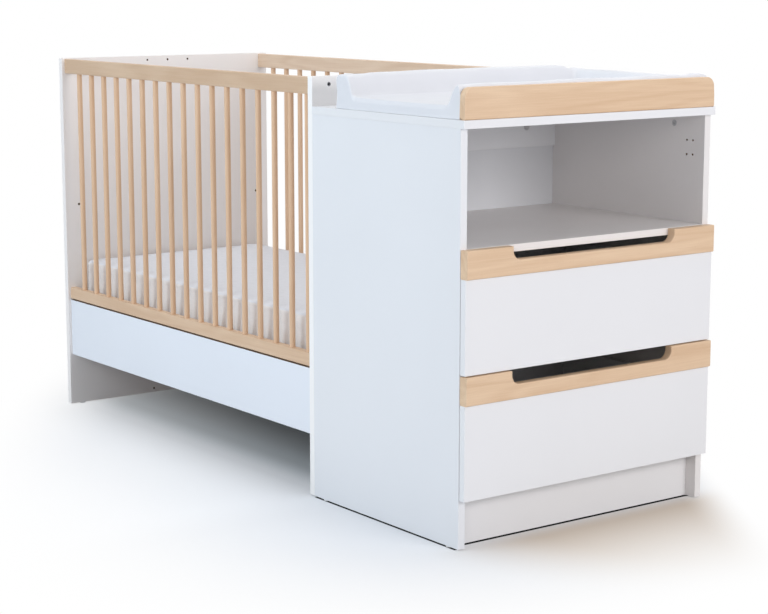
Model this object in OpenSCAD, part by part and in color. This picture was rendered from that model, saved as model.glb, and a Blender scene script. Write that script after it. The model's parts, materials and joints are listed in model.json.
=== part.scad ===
// Crib with an attached chest of drawers and changing top.
// Inside the modules x runs from the outer face of the far end panel towards the drawer fronts,
// y runs from the near long side to the back, and z runs up from the floor.

/* [Mattress] */
// Mattress length
mattress_l = 1200; // [1100:5:1400]
// Mattress width
mattress_w = 600; // [560:5:700]
// Mattress thickness with its crown
mattress_t = 110; // [90:1:130]
// Play between the mattress and each end panel
mattress_end_gap = 5; // [3:0.5:10]
// Play between the mattress and each side rail
mattress_side_gap = 8; // [4:0.5:15]
// Rise of the mattress top from its edges to its middle
mattress_crown = 5; // [2:0.5:12]
// Radius of the mattress corners seen from above
mattress_corner_r = 38; // [20:1:60]
// How far the mattress sides are drawn in at half height
mattress_draw_in = 4; // [1:0.5:6]
// Radius of the mattress edges
mattress_edge_r = 14; // [8:1:24]

/* [Crib panels] */
// Thickness of the end panels and of the chest sides
panel_t = 18; // [16:0.5:25]
// Height of the two crib end panels and of the chest with its front board
panel_h = 978; // [900:1:1050]
// Height of the plastic glides
glide_h = 3; // [2:0.5:6]
// Diameter of the plastic glides
glide_d = 16; // [10:1:16]
// Distance of each glide from the nearest board end
glide_inset = 40; // [25:1:80]
// Spacing of the three spare holes in the middle of an end panel
spare_hole_pitch = 66; // [40:1:90]
// Distance of the spare holes from the top or bottom edge
spare_hole_edge = 11; // [8:0.5:25]
// Diameter of the spare holes
spare_hole_d = 6; // [4:0.5:8]
// Depth of the spare holes
spare_hole_depth = 12; // [8:0.5:14]

/* [Crib sides] */
// Thickness of the rails
rail_t = 20; // [19:0.5:30]
// Distance from the edge of the end panel to the outer face of the rail
rail_setback = 8; // [2:0.5:20]
// Height of the top rails
top_rail_h = 39; // [36:0.5:60]
// Distance from the top of the end panels down to the top rails
top_rail_drop = 2.5; // [0:0.5:20]
// Height of the bottom rails
bottom_rail_h = 32; // [30:0.5:60]
// Diameter of the bars
bar_d = 14; // [10:0.5:16]
// Distance between bar centres
bar_pitch = 69.75; // [50:0.25:75]
// Distance from the far end panel to the centre of the first bar
bar_first = 67; // [45:0.5:70]
// Least distance from the last bar centre to the shared panel
bar_last_min = 20; // [18:0.5:50]
// Depth of the bar holes in the rails
bar_tenon = 10; // [6:0.5:10]
// Thickness of the lower boards
lower_board_t = 18; // [16:0.5:20]
// Height of the lower boards
lower_board_h = 157; // [120:1:200]
// Open height under the lower boards
under_bed_h = 146; // [100:1:180]
// Gap between the lower board and the bottom rail
board_rail_gap = 3.5; // [1:0.5:8]

/* [Bed base] */
// Height of the base bolts above the floor in the low position
base_low_z = 282; // [265:1:300]
// Distance from the low to the high base position
base_step = 290.6; // [200:0.1:330]
// Height of the base beams
base_beam_h = 36; // [30:1:50]
// Thickness of the base beams
base_beam_t = 22; // [20:0.5:30]
// Play between a beam and the side rail
base_side_gap = 2; // [1:0.5:6]
// Play between a beam and the end panel
base_end_gap = 1.5; // [0.5:0.5:4]
// Width of the slats
slat_w = 60; // [40:1:80]
// Thickness of the slats
slat_t = 8; // [6:0.5:14]
// Widest gap allowed between two slats
slat_gap_max = 50; // [30:1:60]

/* [Chest] */
// Width of the chest, from side to side
chest_w = 725; // [700:1:800]
// Depth of the chest sides
chest_side_depth = 539; // [520:1:600]
// Thickness of the top slab
slab_t = 18; // [16:0.5:25]
// How far the top slab stands out past each chest side
slab_side_overhang = 1.5; // [0:0.5:6]
// How far the top slab stands out past the front edge of the sides
slab_front_overhang = 13; // [6:0.5:14]
// Height of the wooden front board above the slab
front_board_h = 67; // [50:0.5:100]
// Thickness of the wooden front board
front_board_t = 18; // [16:0.5:25]
// Setback of the front board from the slab's front edge
front_board_setback = 2; // [0:0.5:6]
// Radius of the front board's upper corners
front_board_r = 21; // [5:0.5:30]
// Distance from each chest side to the ends of the fronts
front_end_gap = 2; // [1:0.5:4]
// Height of the shelf's upper face
shelf_z = 646.5; // [640:0.5:660]
// Thickness of the shelf
shelf_t = 16; // [15:0.5:19]
// Thickness of the back panel
back_panel_t = 3; // [2.5:0.1:6]
// Distance from the rear edge of the sides to the back panel
back_panel_inset = 20; // [16:0.5:30]
// Depth of the grooves that hold the back panel
groove_depth = 6; // [4:0.5:8]
// Thickness of the stretchers
stretcher_t = 18; // [16:0.5:20]
// Height of the upper stretcher
upper_stretcher_h = 104; // [90:1:140]
// Height of the lower stretcher
lower_stretcher_h = 104; // [90:1:120]
// Thickness of the plinth board
plinth_t = 18; // [16:0.5:20]
// Height of the plinth board
plinth_h = 104; // [90:1:105]
// Distance from the front edge of the sides back to the plinth
plinth_setback = 30; // [20:1:60]
// Spacing of the four accessory holes from front to back
accessory_hole_dx = 19; // [15:0.5:32]
// Spacing of the four accessory holes up and down
accessory_hole_dz = 32.5; // [20:0.5:40]
// Diameter of the accessory holes
accessory_hole_d = 5; // [4:0.5:6]
// Depth of the accessory holes
accessory_hole_depth = 12; // [8:0.5:14]
// Distance from the side's front edge to the first accessory holes
accessory_hole_front = 36; // [25:0.5:60]
// Distance from the top of the side to the upper accessory holes
accessory_hole_top = 60.5; // [50:0.5:90]

/* [Drawers] */
// Height of the upper drawer front with its wooden strip
upper_drawer_h = 265; // [255:0.5:268]
// Height of the lower drawer front with its wooden strip
lower_drawer_h = 268.5; // [250:0.5:270]
// Gap between the two drawer fronts
drawer_gap = 2.5; // [2:0.5:5]
// Distance from the shelf's upper face down to the upper drawer front
drawer_top_drop = 0.5; // [0:0.5:4]
// Gap between the drawer fronts and the chest sides
front_gap = 0.5; // [0.4:0.1:2]
// Thickness of the white drawer fronts
front_t = 16; // [15:0.5:19]
// Thickness of the wooden strips
strip_t = 22; // [20:0.5:30]
// Height of the wooden strips
strip_h = 61.5; // [50:0.5:80]
// Width of the finger cut-outs
cutout_w = 470; // [200:1:560]
// Depth of the finger cut-outs
cutout_depth = 29; // [22:0.5:35]
// Radius of the lower corners of the finger cut-outs
cutout_r = 20; // [5:0.5:21]
// Thickness of the drawer sides and back
box_t = 12; // [12:0.5:16]
// Height of the drawer sides
box_h = 160; // [130:1:165]
// Length of the drawer sides
box_l = 450; // [400:1:460]
// Height of the drawer side above the lower edge of its front
box_lift = 22; // [20:0.5:30]
// Thickness of the drawer bottoms
bottom_t = 3; // [3:0.1:5]
// Height of the drawer bottom above the lower edge of its side
bottom_lift = 12; // [10:0.5:20]
// Space between a drawer side and the chest side
runner_gap = 12.5; // [12.5:0.1:13.5]
// Sheet thickness of the runners
runner_sheet = 1.2; // [1:0.1:1.5]
// Diameter of the runner rollers
roller_d = 15; // [13:0.5:15]
// Width of the runner rollers
roller_w = 6.6; // [5:0.1:6.8]
// Diameter of the roller pins
roller_pin_d = 4; // [3:0.5:5]
// Radial play of the rollers on their pins
roller_play = 0.06; // [0.03:0.01:0.1]
// Play of the rollers between the runner flanges
roller_track_play = 0.15; // [0.1:0.05:0.3]

/* [Changing mat] */
// Size of the changing mat from the front board towards the crib
mat_l = 442; // [400:1:460]
// Gap between each end of the mat and the chest's side
mat_end_gap = 3; // [2:0.5:20]
// Thickness of the mat's flat middle
mat_floor_t = 28; // [20:0.5:40]
// Height of the raised edge beside the crib
mat_crib_edge_h = 77; // [50:0.5:85]
// Height of the raised edge behind the front board
mat_front_edge_h = 72; // [50:0.5:85]
// Height of the raised far end
mat_far_edge_h = 67; // [50:0.5:85]
// Rounding of the mat's upper edges
mat_edge_r = 12; // [6:0.5:20]

/* [Fasteners] */
// Diameter of the cam discs
cam_d = 15; // [12:0.5:15]
// Distance from the joint to the centre of a cam disc
cam_reach = 24; // [20:0.5:34]
// Diameter of the cam bolt's thread and shank
cam_bolt_d = 5; // [4:0.5:6]
// Diameter of the clearance hole for a cam bolt
cam_hole_d = 7; // [6.5:0.5:8]
// Depth of a cam bolt's thread in the panel
cam_bolt_depth = 11; // [8:0.5:12]
// Diameter of the wooden dowels
dowel_d = 8; // [6:0.5:8]
// Half length of the wooden dowels on the board's side
dowel_board = 20; // [15:1:25]
// Depth of the wooden dowels in the panel
dowel_panel = 10; // [8:0.5:12]
// Diameter of the machine bolts
bolt_d = 6; // [5:0.5:8]
// Diameter of the flat heads of the machine bolts
bolt_head_d = 16; // [12:0.5:18]
// Thickness of the flat heads of the machine bolts
bolt_head_t = 2; // [1.5:0.5:3]
// Diameter of the barrel nuts
barrel_d = 10; // [10:0.5:12]
// Length of the barrel nuts
barrel_l = 14; // [12:0.5:16]
// Distance from the beam's end to the barrel nut
barrel_reach = 34; // [25:0.5:50]
// Diameter of the runner and slat screws
screw_d = 3.5; // [3:0.5:4]
// Head diameter of the runner and slat screws
screw_head_d = 7; // [6:0.5:8]
// Head height of the runner and slat screws
screw_head_h = 1.4; // [1:0.1:1.6]
// Outer diameter of the threaded inserts
insert_d = 10; // [9:0.5:12]
// Length of the threaded inserts
insert_l = 13; // [10:0.5:14]
// Diameter of the glide's nail
glide_nail_d = 3; // [2:0.5:4]
// Length of the glide's nail in the board
glide_nail_l = 12; // [8:0.5:15]
// Radial play of a part pressed or glued into its hole
fit = 0.05; // [0.03:0.01:0.1]
// Gap between a soft piece and what it lies on
soft_gap = 0.3; // [0.2:0.1:0.5]

/* [Hidden] */
$fn = 48;
eps = 0.01;

// Crib
crib_inner_l = mattress_l + 2 * mattress_end_gap;
crib_inner_w = mattress_w + 2 * mattress_side_gap;
crib_w = crib_inner_w + 2 * (rail_t + rail_setback);
crib_l = crib_inner_l + 2 * panel_t;
crib_top = glide_h + panel_h;
top_rail_z = crib_top - top_rail_drop - top_rail_h;
bottom_rail_z = under_bed_h + lower_board_h + board_rail_gap;
bar_z = bottom_rail_z + bottom_rail_h - bar_tenon;
bar_l = top_rail_z + bar_tenon - bar_z;
bar_count = floor((crib_inner_l - bar_first - bar_last_min) / bar_pitch) + 1;
near_rail_y = rail_setback;
back_rail_y = crib_w - rail_setback - rail_t;
// Height of the cam axis above the lower edge of a rail, clear of the bar holes
top_rail_cam_z = top_rail_h / 2;
bottom_rail_cam_z = (bottom_rail_h - bar_tenon) / 2 + 1.5;
board_cam_z = 40;

// Bed base
beam_y = rail_setback + rail_t + base_side_gap;
beam_axis_y = beam_y + base_beam_t / 2;
beam_z = base_low_z - base_beam_h / 2;
base_l = crib_inner_l - 2 * base_end_gap;
slat_z = beam_z + base_beam_h;
slat_inset = 1;
// The slat screws end above the barrel nuts
slat_screw_l = slat_t + base_beam_h / 2 - barrel_d / 2 - 3;
slat_count = ceil((base_l - slat_w) / (slat_w + slat_gap_max)) + 1;
slat_pitch = (base_l - slat_w) / (slat_count - 1);
mattress_z = slat_z + slat_t + soft_gap;
corner_steps = 6;

// Chest
chest_x = crib_l;
side_front_x = chest_x + chest_side_depth;
chest_side_h = panel_h - front_board_h - slab_t;
side_top = glide_h + chest_side_h;
slab_top = side_top + slab_t;
slab_front_x = side_front_x + slab_front_overhang;
front_board_x = slab_front_x - front_board_setback - front_board_t;
front_l = chest_w - 2 * front_end_gap;
chest_inner_w = chest_w - 2 * panel_t;
groove_w = back_panel_t + 0.4;
back_panel_x = chest_x + back_panel_inset;
groove_x = back_panel_x - 0.2;
stretcher_x = back_panel_x + back_panel_t / 2 - stretcher_t / 2;
upper_stretcher_z = side_top - upper_stretcher_h;
lower_stretcher_top = glide_h + lower_stretcher_h;
back_panel_z = lower_stretcher_top - groove_depth + 0.5;
back_panel_top = upper_stretcher_z + groove_depth - 0.5;
shelf_x = back_panel_x + back_panel_t + 0.5;
plinth_x = side_front_x - plinth_setback - plinth_t;
overall_l = side_front_x + front_gap + strip_t;

// Drawers
fronts_x = side_front_x + front_gap;
upper_drawer_z = shelf_z - drawer_top_drop - upper_drawer_h;
lower_drawer_z = upper_drawer_z - drawer_gap - lower_drawer_h;
box_y = panel_t + runner_gap;
box_w = chest_inner_w - 2 * runner_gap;
box_back_x = fronts_x - box_l;
bottom_groove_w = bottom_t + 0.4;

// Runners, measured up from the lower edge of a drawer side
track_y = panel_t + runner_sheet;
member_y = box_y - runner_sheet;
track_flange = runner_gap - 2 * runner_sheet - 0.8;
lip_top = 20;
roller_z = lip_top - runner_sheet - roller_track_play - roller_d / 2;
track_floor = roller_z - roller_d / 2 - roller_track_play;
track_ceiling = lip_top + 0.8;
roller_side_gap = 0.8;
track_screw_depth = 12;
track_screw_rear = 45;
track_screw_front = 60;
front_roller_x = fronts_x - 15;
rear_roller_x = box_back_x + 12;
track_x = box_back_x;
track_l = box_l - 3;
roller_head_d = 7;
roller_head_t = 0.5;

// Changing mat
mat_w = chest_w - 2 * mat_end_gap;

// Spare inserts in the shared panel, near its top
insert_edge_y = 46.5;
insert_drop = 18.5;
link_y = 112;
link_upper_z = side_top - 55;
link_lower_z = 55;
link_head_z = chest_x - stretcher_x - stretcher_t;

// Stations of the joints along the chest's sides
top_joint_xs = [chest_x + 64, side_front_x - 97];
shelf_joint_xs = [chest_x + 70, side_front_x - 70];
stretcher_joint_up = 26;
stretcher_joint_low = 78;
dowel_mid = 52;
front_board_dowels = 3;
strip_pin_count = 4;
strip_pin_y = 62;
box_cam_drop = 45;
box_dowel_up = 42;
box_dowel_d = 6;
box_dowel_panel = 10;
box_dowel_l = 30;

// ---------- placing ----------

module place() {
    translate([-overall_l / 2, -chest_w / 2, 0]) children();
}

// Copies for both crib ends, mirrored about the middle of the crib
module at_both_ends() {
    children();
    translate([crib_l, 0, 0]) mirror([1, 0, 0]) children();
}

// Copies for the near and the back side of something of width w
module at_both_sides(w) {
    children();
    translate([0, w, 0]) mirror([0, 1, 0]) children();
}

// ---------- fasteners ----------
// A joint's own frame: the joint plane is x = 0, the board that holds the cam lies on +x,
// the bolt runs along x, and the cam's face lies at z = face.

module cam_bolt() {
    translate([-cam_bolt_depth, 0, 0]) rotate([0, 90, 0])
        cylinder(d = cam_bolt_d, h = cam_bolt_depth + cam_reach - 2, $fn = 24);
    translate([cam_reach - 2, 0, 0]) rotate([0, 90, 0])
        cylinder(d = cam_bolt_d + 1, h = 4, $fn = 24);
}

module cam(face) {
    difference() {
        translate([cam_reach, 0, -4]) cylinder(d = cam_d - 2 * fit, h = face + 4);
        translate([cam_reach - cam_d, 0, 0]) rotate([0, 90, 0])
            cylinder(d = cam_bolt_d + 1.6, h = cam_d + 3, $fn = 24);
        for (turn = [0, 90])
            translate([cam_reach, 0, face - 2]) rotate([0, 0, turn + 20])
                translate([-3.5, -0.8, 0]) cube([7, 1.6, 2 + eps]);
    }
}

module cam_cut(face) {
    translate([cam_reach, 0, -4]) cylinder(d = cam_d, h = face + 4 + eps);
    translate([-eps, 0, 0]) rotate([0, 90, 0])
        cylinder(d = cam_hole_d, h = cam_reach - cam_d / 2 + 1.5, $fn = 24);
}

module cam_bolt_cut() {
    translate([-cam_bolt_depth - 0.5, 0, 0]) rotate([0, 90, 0])
        cylinder(d = cam_bolt_d + 2 * fit, h = cam_bolt_depth + 0.5 + eps, $fn = 24);
}

module dowel() {
    translate([-dowel_panel, 0, 0]) rotate([0, 90, 0])
        cylinder(d = dowel_d - 2 * fit, h = dowel_panel + dowel_board, $fn = 24);
}

module dowel_cut() {
    translate([-dowel_panel - 0.5, 0, 0]) rotate([0, 90, 0])
        cylinder(d = dowel_d, h = dowel_panel + dowel_board + 1, $fn = 24);
}

// ---------- crib joints ----------

// Near or back rail ends at one panel; the cam's face looks towards +y
module rail_joints(y, z) {
    at_both_ends() translate([panel_t, y, z]) rotate([-90, 0, 0]) children();
}

module all_rail_joints() {
    for (y = [near_rail_y + rail_t / 2, back_rail_y + rail_t / 2]) {
        rail_joints(y, top_rail_z + top_rail_cam_z) children();
        rail_joints(y, bottom_rail_z + bottom_rail_cam_z) children();
    }
}

// Lower boards; the cams look towards the inside
module board_joints() {
    at_both_sides(crib_w)
        for (z = [under_bed_h + board_cam_z, under_bed_h + lower_board_h - board_cam_z])
            rail_joints(rail_setback + lower_board_t / 2, z) children();
}

module base_axes() {
    at_both_ends() at_both_sides(crib_w) translate([0, beam_axis_y, base_low_z]) children();
}

// ---------- crib ----------

module end_panel_blank() {
    translate([0, 0, glide_h]) cube([panel_t, crib_w, panel_h]);
}

module glide_seats() {
    for (y = [glide_inset, crib_w - glide_inset]) translate([panel_t / 2, y, 0]) children();
}

module glide() {
    cylinder(d = glide_d, h = glide_h);
    translate([0, 0, glide_h]) cylinder(d = glide_nail_d, h = glide_nail_l, $fn = 24);
}

module glide_cut() {
    translate([0, 0, glide_h - eps])
        cylinder(d = glide_nail_d + 2 * fit, h = glide_nail_l + 0.5, $fn = 24);
}

// Holes shared by both end panels, drawn for the far one
module end_panel_cuts() {
    for (z = [base_low_z, base_low_z + base_step])
        for (y = [beam_axis_y, crib_w - beam_axis_y]) {
            translate([-eps, y, z]) rotate([0, 90, 0])
                cylinder(d = bolt_d + 1, h = panel_t + 2 * eps, $fn = 24);
            translate([-eps, y, z]) rotate([0, 90, 0])
                cylinder(d = bolt_head_d + 1, h = bolt_head_t + eps);
        }
    for (z = [glide_h + spare_hole_edge, crib_top - spare_hole_edge])
        for (i = [-1, 0, 1])
            translate([panel_t - spare_hole_depth, crib_w / 2 + i * spare_hole_pitch, z])
                rotate([0, 90, 0]) cylinder(d = spare_hole_d, h = spare_hole_depth + eps, $fn = 24);
    glide_seats() glide_cut();
}

module far_end_panel() {
    color("white") place() difference() {
        end_panel_blank();
        end_panel_cuts();
        all_rail_joints() cam_bolt_cut();
        board_joints() cam_bolt_cut();
    }
}

// Threaded inserts in the chest side of the shared panel
module insert_seats() {
    for (y = [insert_edge_y, crib_w - insert_edge_y])
        translate([crib_l, y, crib_top - insert_drop]) rotate([0, -90, 0]) children();
    link_seats() children();
}

module link_seats() {
    for (y = [link_y, chest_w - link_y])
        for (z = [link_upper_z, link_lower_z])
            translate([crib_l, y, z]) rotate([0, -90, 0]) children();
}

module shared_end_panel() {
    color("white") place() difference() {
        translate([crib_inner_l + panel_t, 0, 0]) end_panel_blank();
        translate([crib_l, 0, 0]) mirror([1, 0, 0]) end_panel_cuts();
        all_rail_joints() cam_bolt_cut();
        board_joints() cam_bolt_cut();
        insert_seats() translate([0, 0, -eps]) cylinder(d = insert_d, h = insert_l + eps);
    }
}

module panel_inserts() {
    color("silver") place() insert_seats() difference() {
        cylinder(d = insert_d - 2 * fit, h = insert_l);
        translate([0, 0, -eps]) cylinder(d = bolt_d + 2 * fit, h = insert_l + 2 * eps, $fn = 24);
    }
}

module bar_axes(y) {
    for (i = [0 : bar_count - 1]) translate([panel_t + bar_first + i * bar_pitch, y, bar_z]) children();
}

module bars(y) {
    color("burlywood") place() bar_axes(y) cylinder(d = bar_d - 2 * fit, h = bar_l);
}

module rail(y, z, h, cam_z) {
    color("burlywood") place() difference() {
        translate([panel_t, y, z]) cube([crib_inner_l, rail_t, h]);
        bar_axes(y + rail_t / 2) cylinder(d = bar_d, h = bar_l);
        rail_joints(y + rail_t / 2, z + cam_z) cam_cut(rail_t / 2);
    }
}

module near_top_rail() { rail(near_rail_y, top_rail_z, top_rail_h, top_rail_cam_z); }
module back_top_rail() { rail(back_rail_y, top_rail_z, top_rail_h, top_rail_cam_z); }
module near_bottom_rail() { rail(near_rail_y, bottom_rail_z, bottom_rail_h, bottom_rail_cam_z); }
module back_bottom_rail() { rail(back_rail_y, bottom_rail_z, bottom_rail_h, bottom_rail_cam_z); }
module near_bars() { bars(near_rail_y + rail_t / 2); }
module back_bars() { bars(back_rail_y + rail_t / 2); }

module lower_board(y) {
    color("white") place() difference() {
        translate([panel_t, y, under_bed_h]) cube([crib_inner_l, lower_board_t, lower_board_h]);
        board_joints() cam_cut(lower_board_t / 2);
    }
}

module near_lower_board() { lower_board(rail_setback); }
module back_lower_board() { lower_board(crib_w - rail_setback - lower_board_t); }

module crib_cams() {
    color("silver") place() {
        all_rail_joints() cam(rail_t / 2);
        board_joints() cam(lower_board_t / 2);
    }
}

module crib_cam_bolts() {
    color("silver") place() {
        all_rail_joints() cam_bolt();
        board_joints() cam_bolt();
    }
}

module crib_glides() {
    color("white") place() at_both_ends() glide_seats() glide();
}

// ---------- bed base and mattress ----------

module slat_screw_seats() {
    at_both_sides(crib_w) for (i = [0 : slat_count - 1])
        translate([panel_t + base_end_gap + i * slat_pitch + slat_w / 2, beam_axis_y, slat_z + slat_t])
            mirror([0, 0, 1]) children();
}

module slat_screw() {
    cylinder(d = screw_head_d, h = screw_head_h, $fn = 24);
    cylinder(d = screw_d, h = slat_screw_l, $fn = 24);
}

module slat_screw_cut() {
    translate([0, 0, -eps]) cylinder(d = screw_head_d + 2 * fit, h = screw_head_h + eps, $fn = 24);
    cylinder(d = screw_d + 2 * fit, h = slat_screw_l + 0.5, $fn = 24);
}

module slat_screws() {
    color("silver") place() slat_screw_seats() slat_screw();
}

module base_beam(y) {
    color("burlywood") place() difference() {
        translate([panel_t + base_end_gap, y, beam_z]) cube([base_l, base_beam_t, base_beam_h]);
        slat_screw_seats() slat_screw_cut();
        base_axes() {
            rotate([0, 90, 0]) cylinder(d = bolt_d + 1, h = panel_t + barrel_reach + barrel_d, $fn = 24);
            translate([panel_t + barrel_reach, -barrel_l / 2, 0]) rotate([-90, 0, 0])
                cylinder(d = barrel_d, h = base_beam_t);
        }
    }
}

module base_near_beam() { base_beam(beam_y); }
module base_back_beam() { base_beam(crib_w - beam_y - base_beam_t); }

module base_slats() {
    color("burlywood") place() difference() {
        for (i = [0 : slat_count - 1])
            translate([panel_t + base_end_gap + i * slat_pitch, beam_y + slat_inset, slat_z])
                cube([slat_w, crib_w - 2 * beam_y - 2 * slat_inset, slat_t]);
        slat_screw_seats() slat_screw_cut();
    }
}

module base_bolts() {
    color("silver") place() base_axes() rotate([0, 90, 0]) {
        cylinder(d = bolt_head_d, h = bolt_head_t);
        cylinder(d = bolt_d, h = panel_t + barrel_reach + barrel_d, $fn = 24);
    }
}

module base_barrel_nuts() {
    color("silver") place() base_axes() difference() {
        translate([panel_t + barrel_reach, -barrel_l / 2, 0]) rotate([-90, 0, 0])
            cylinder(d = barrel_d - 2 * fit, h = barrel_l);
        rotate([0, 90, 0]) cylinder(d = bolt_d + 2 * fit, h = panel_t + barrel_reach + barrel_d, $fn = 24);
    }
}

// One ring of a rounded rectangle, seen from above, drawn in by d from the full size
function corner_point(l, w, r, k, a) =
    let (sx = (k == 0 || k == 3) ? 1 : -1, sy = (k < 2) ? 1 : -1)
    [sx * (l / 2 - r) + r * cos(a), sy * (w / 2 - r) + r * sin(a)];
function side_points(p, q, n) = [for (i = [1 : n]) p + (q - p) * i / (n + 1)];
function ring(l, w, r) = [
    for (k = [0 : 3]) each concat(
        [for (i = [0 : corner_steps]) corner_point(l, w, r, k, 90 * (k + i / corner_steps))],
        side_points(corner_point(l, w, r, k, 90 * (k + 1)),
                    corner_point(l, w, r, (k + 1) % 4, 90 * (k + 1)), (k % 2 == 0) ? 7 : 3))
];
function lift(points, z) = [for (p = points) [p[0], p[1], z]];

// Closed skin over a stack of rings with equal counts, capped by fans at both ends
module ring_stack(rings) {
    n = len(rings[0]);
    m = len(rings);
    low = rings[0];
    high = rings[m - 1];
    points = concat([for (r = rings) each r], [[0, 0, low[0][2]], [0, 0, high[0][2]]]);
    faces = concat(
        [for (j = [0 : m - 2]) for (i = [0 : n - 1]) [j * n + i, (j + 1) * n + i, j * n + (i + 1) % n]],
        [for (j = [0 : m - 2]) for (i = [0 : n - 1])
            [j * n + (i + 1) % n, (j + 1) * n + i, (j + 1) * n + (i + 1) % n]],
        [for (i = [0 : n - 1]) [m * n, i, (i + 1) % n]],
        [for (i = [0 : n - 1]) [m * n + 1, (m - 1) * n + (i + 1) % n, (m - 1) * n + i]]
    );
    polyhedron(points, faces, convexity = 4);
}

// Mattress: rounded edges, sides drawn in at half height and a crowned top
module mattress() {
    edge_t = mattress_t - mattress_crown;
    r = mattress_edge_r;
    wall = [for (i = [0 : 6]) let (s = i / 6)
        [mattress_draw_in * sin(180 * s), r + (edge_t - 2 * r) * s]];
    bottom = [for (i = [0 : 3]) let (a = 90 * i / 4) [r * (1 - sin(a)), r * (1 - cos(a))]];
    top = [for (i = [1 : 4]) let (a = 90 * i / 4) [r * (1 - cos(a)), edge_t - r + r * sin(a)]];
    crown = [for (s = [0.12, 0.3, 0.55, 0.85])
        [r + s * (mattress_w / 2 - r - mattress_corner_r), edge_t + mattress_crown * sin(90 * s / 0.85)]];
    color("whitesmoke") place() translate([crib_l / 2, crib_w / 2, mattress_z])
        ring_stack([for (p = concat(bottom, wall, top, crown))
            lift(ring(mattress_l - 2 * p[0], mattress_w - 2 * p[0],
                      max(mattress_corner_r - p[0] / 2, mattress_corner_r / 2)), p[1])]);
}

// ---------- chest joints ----------

module top_joints() {
    for (x = top_joint_xs) at_both_sides(chest_w)
        translate([x, panel_t / 2, side_top]) rotate([0, 90, 0]) rotate([-90, 0, 0]) children();
}

module top_dowels() {
    at_both_sides(chest_w) translate([(top_joint_xs[0] + top_joint_xs[1]) / 2, panel_t / 2, side_top])
        rotate([0, 90, 0]) children();
}

module shelf_joints() {
    for (x = shelf_joint_xs) at_both_sides(chest_w)
        translate([x, panel_t, shelf_z - shelf_t / 2]) rotate([0, 0, 90]) rotate([180, 0, 0]) children();
}

module shelf_dowels() {
    at_both_sides(chest_w) translate([(shelf_joint_xs[0] + shelf_joint_xs[1]) / 2, panel_t,
        shelf_z - shelf_t / 2]) rotate([0, 0, 90]) children();
}

// Ends of an upright board of thickness t whose cams look backwards
module upright_ends(x, t, z) {
    at_both_sides(chest_w) translate([x + t / 2, panel_t, z]) rotate([0, 0, 90]) rotate([-90, 0, 0])
        children();
}

module upper_stretcher_joints() {
    for (z = [stretcher_joint_up, stretcher_joint_low])
        upright_ends(stretcher_x, stretcher_t, upper_stretcher_z + z) children();
}

module lower_stretcher_joints() {
    upright_ends(stretcher_x, stretcher_t, glide_h + stretcher_joint_up) children();
}

module plinth_joints() {
    upright_ends(plinth_x, plinth_t, glide_h + stretcher_joint_up) children();
}

module upright_dowels() {
    upright_ends(stretcher_x, stretcher_t, upper_stretcher_z + dowel_mid) children();
    upright_ends(stretcher_x, stretcher_t, glide_h + stretcher_joint_low) children();
    upright_ends(plinth_x, plinth_t, glide_h + stretcher_joint_low) children();
}

module front_board_pins() {
    for (i = [1 : front_board_dowels])
        translate([front_board_x + front_board_t / 2, chest_w * i / (front_board_dowels + 1), slab_top])
            rotate([0, -90, 0]) children();
}

module back_panel_grooves() {
    at_both_sides(chest_w) translate([groove_x, panel_t - groove_depth, back_panel_z - 0.5])
        cube([groove_w, groove_depth + eps, back_panel_top - back_panel_z + 1]);
}

module accessory_holes() {
    for (i = [0, 1])
        for (k = [0, 1])
            translate([side_front_x - accessory_hole_front - i * accessory_hole_dx, 0,
                       side_top - accessory_hole_top - k * accessory_hole_dz])
                rotate([-90, 0, 0]) cylinder(d = accessory_hole_d, h = accessory_hole_depth + eps, $fn = 24);
}

// ---------- chest ----------

module side_glide_seats() {
    at_both_sides(chest_w)
        for (x = [chest_x + glide_inset, side_front_x - glide_inset])
            translate([x, panel_t / 2, 0]) children();
}

module side_cuts() {
    top_joints() cam_cut(panel_t / 2);
    top_dowels() dowel_cut();
    shelf_joints() cam_bolt_cut();
    shelf_dowels() dowel_cut();
    upper_stretcher_joints() cam_bolt_cut();
    lower_stretcher_joints() cam_bolt_cut();
    plinth_joints() cam_bolt_cut();
    upright_dowels() dowel_cut();
    back_panel_grooves();
    side_glide_seats() glide_cut();
    for (z = [upper_drawer_z, lower_drawer_z]) runner_sides(z) track_screw_seats() track_screw_cut();
    at_both_sides(chest_w) translate([0, panel_t - accessory_hole_depth, 0]) accessory_holes();
}

module side_blank() {
    translate([chest_x, 0, glide_h]) cube([chest_side_depth, panel_t, chest_side_h]);
}

module chest_near_side() {
    color("white") place() difference() {
        side_blank();
        side_cuts();
    }
}

module chest_far_side() {
    color("white") place() difference() {
        translate([0, chest_w - panel_t, 0]) side_blank();
        side_cuts();
    }
}

module top_slab() {
    color("white") place() difference() {
        translate([chest_x, -slab_side_overhang, side_top])
            cube([slab_front_x - chest_x, chest_w + 2 * slab_side_overhang, slab_t]);
        top_joints() cam_bolt_cut();
        top_dowels() dowel_cut();
        front_board_pins() dowel_cut();
    }
}

module front_board() {
    r = front_board_r;
    color("burlywood") place() difference() {
        translate([front_board_x, front_end_gap, slab_top]) rotate([90, 0, 90])
            linear_extrude(front_board_t) {
                square([front_l, front_board_h - r]);
                translate([r, 0]) square([front_l - 2 * r, front_board_h]);
                for (y = [r, front_l - r]) translate([y, front_board_h - r]) circle(r, $fn = 64);
            }
        front_board_pins() dowel_cut();
    }
}

module upper_stretcher() {
    color("white") place() difference() {
        translate([stretcher_x, panel_t, upper_stretcher_z])
            cube([stretcher_t, chest_inner_w, upper_stretcher_h]);
        translate([groove_x, panel_t - eps, upper_stretcher_z - eps])
            cube([groove_w, chest_inner_w + 2 * eps, groove_depth + eps]);
        upper_stretcher_joints() cam_cut(stretcher_t / 2);
        upright_dowels() dowel_cut();
        link_seats() link_hole();
    }
}

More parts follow.
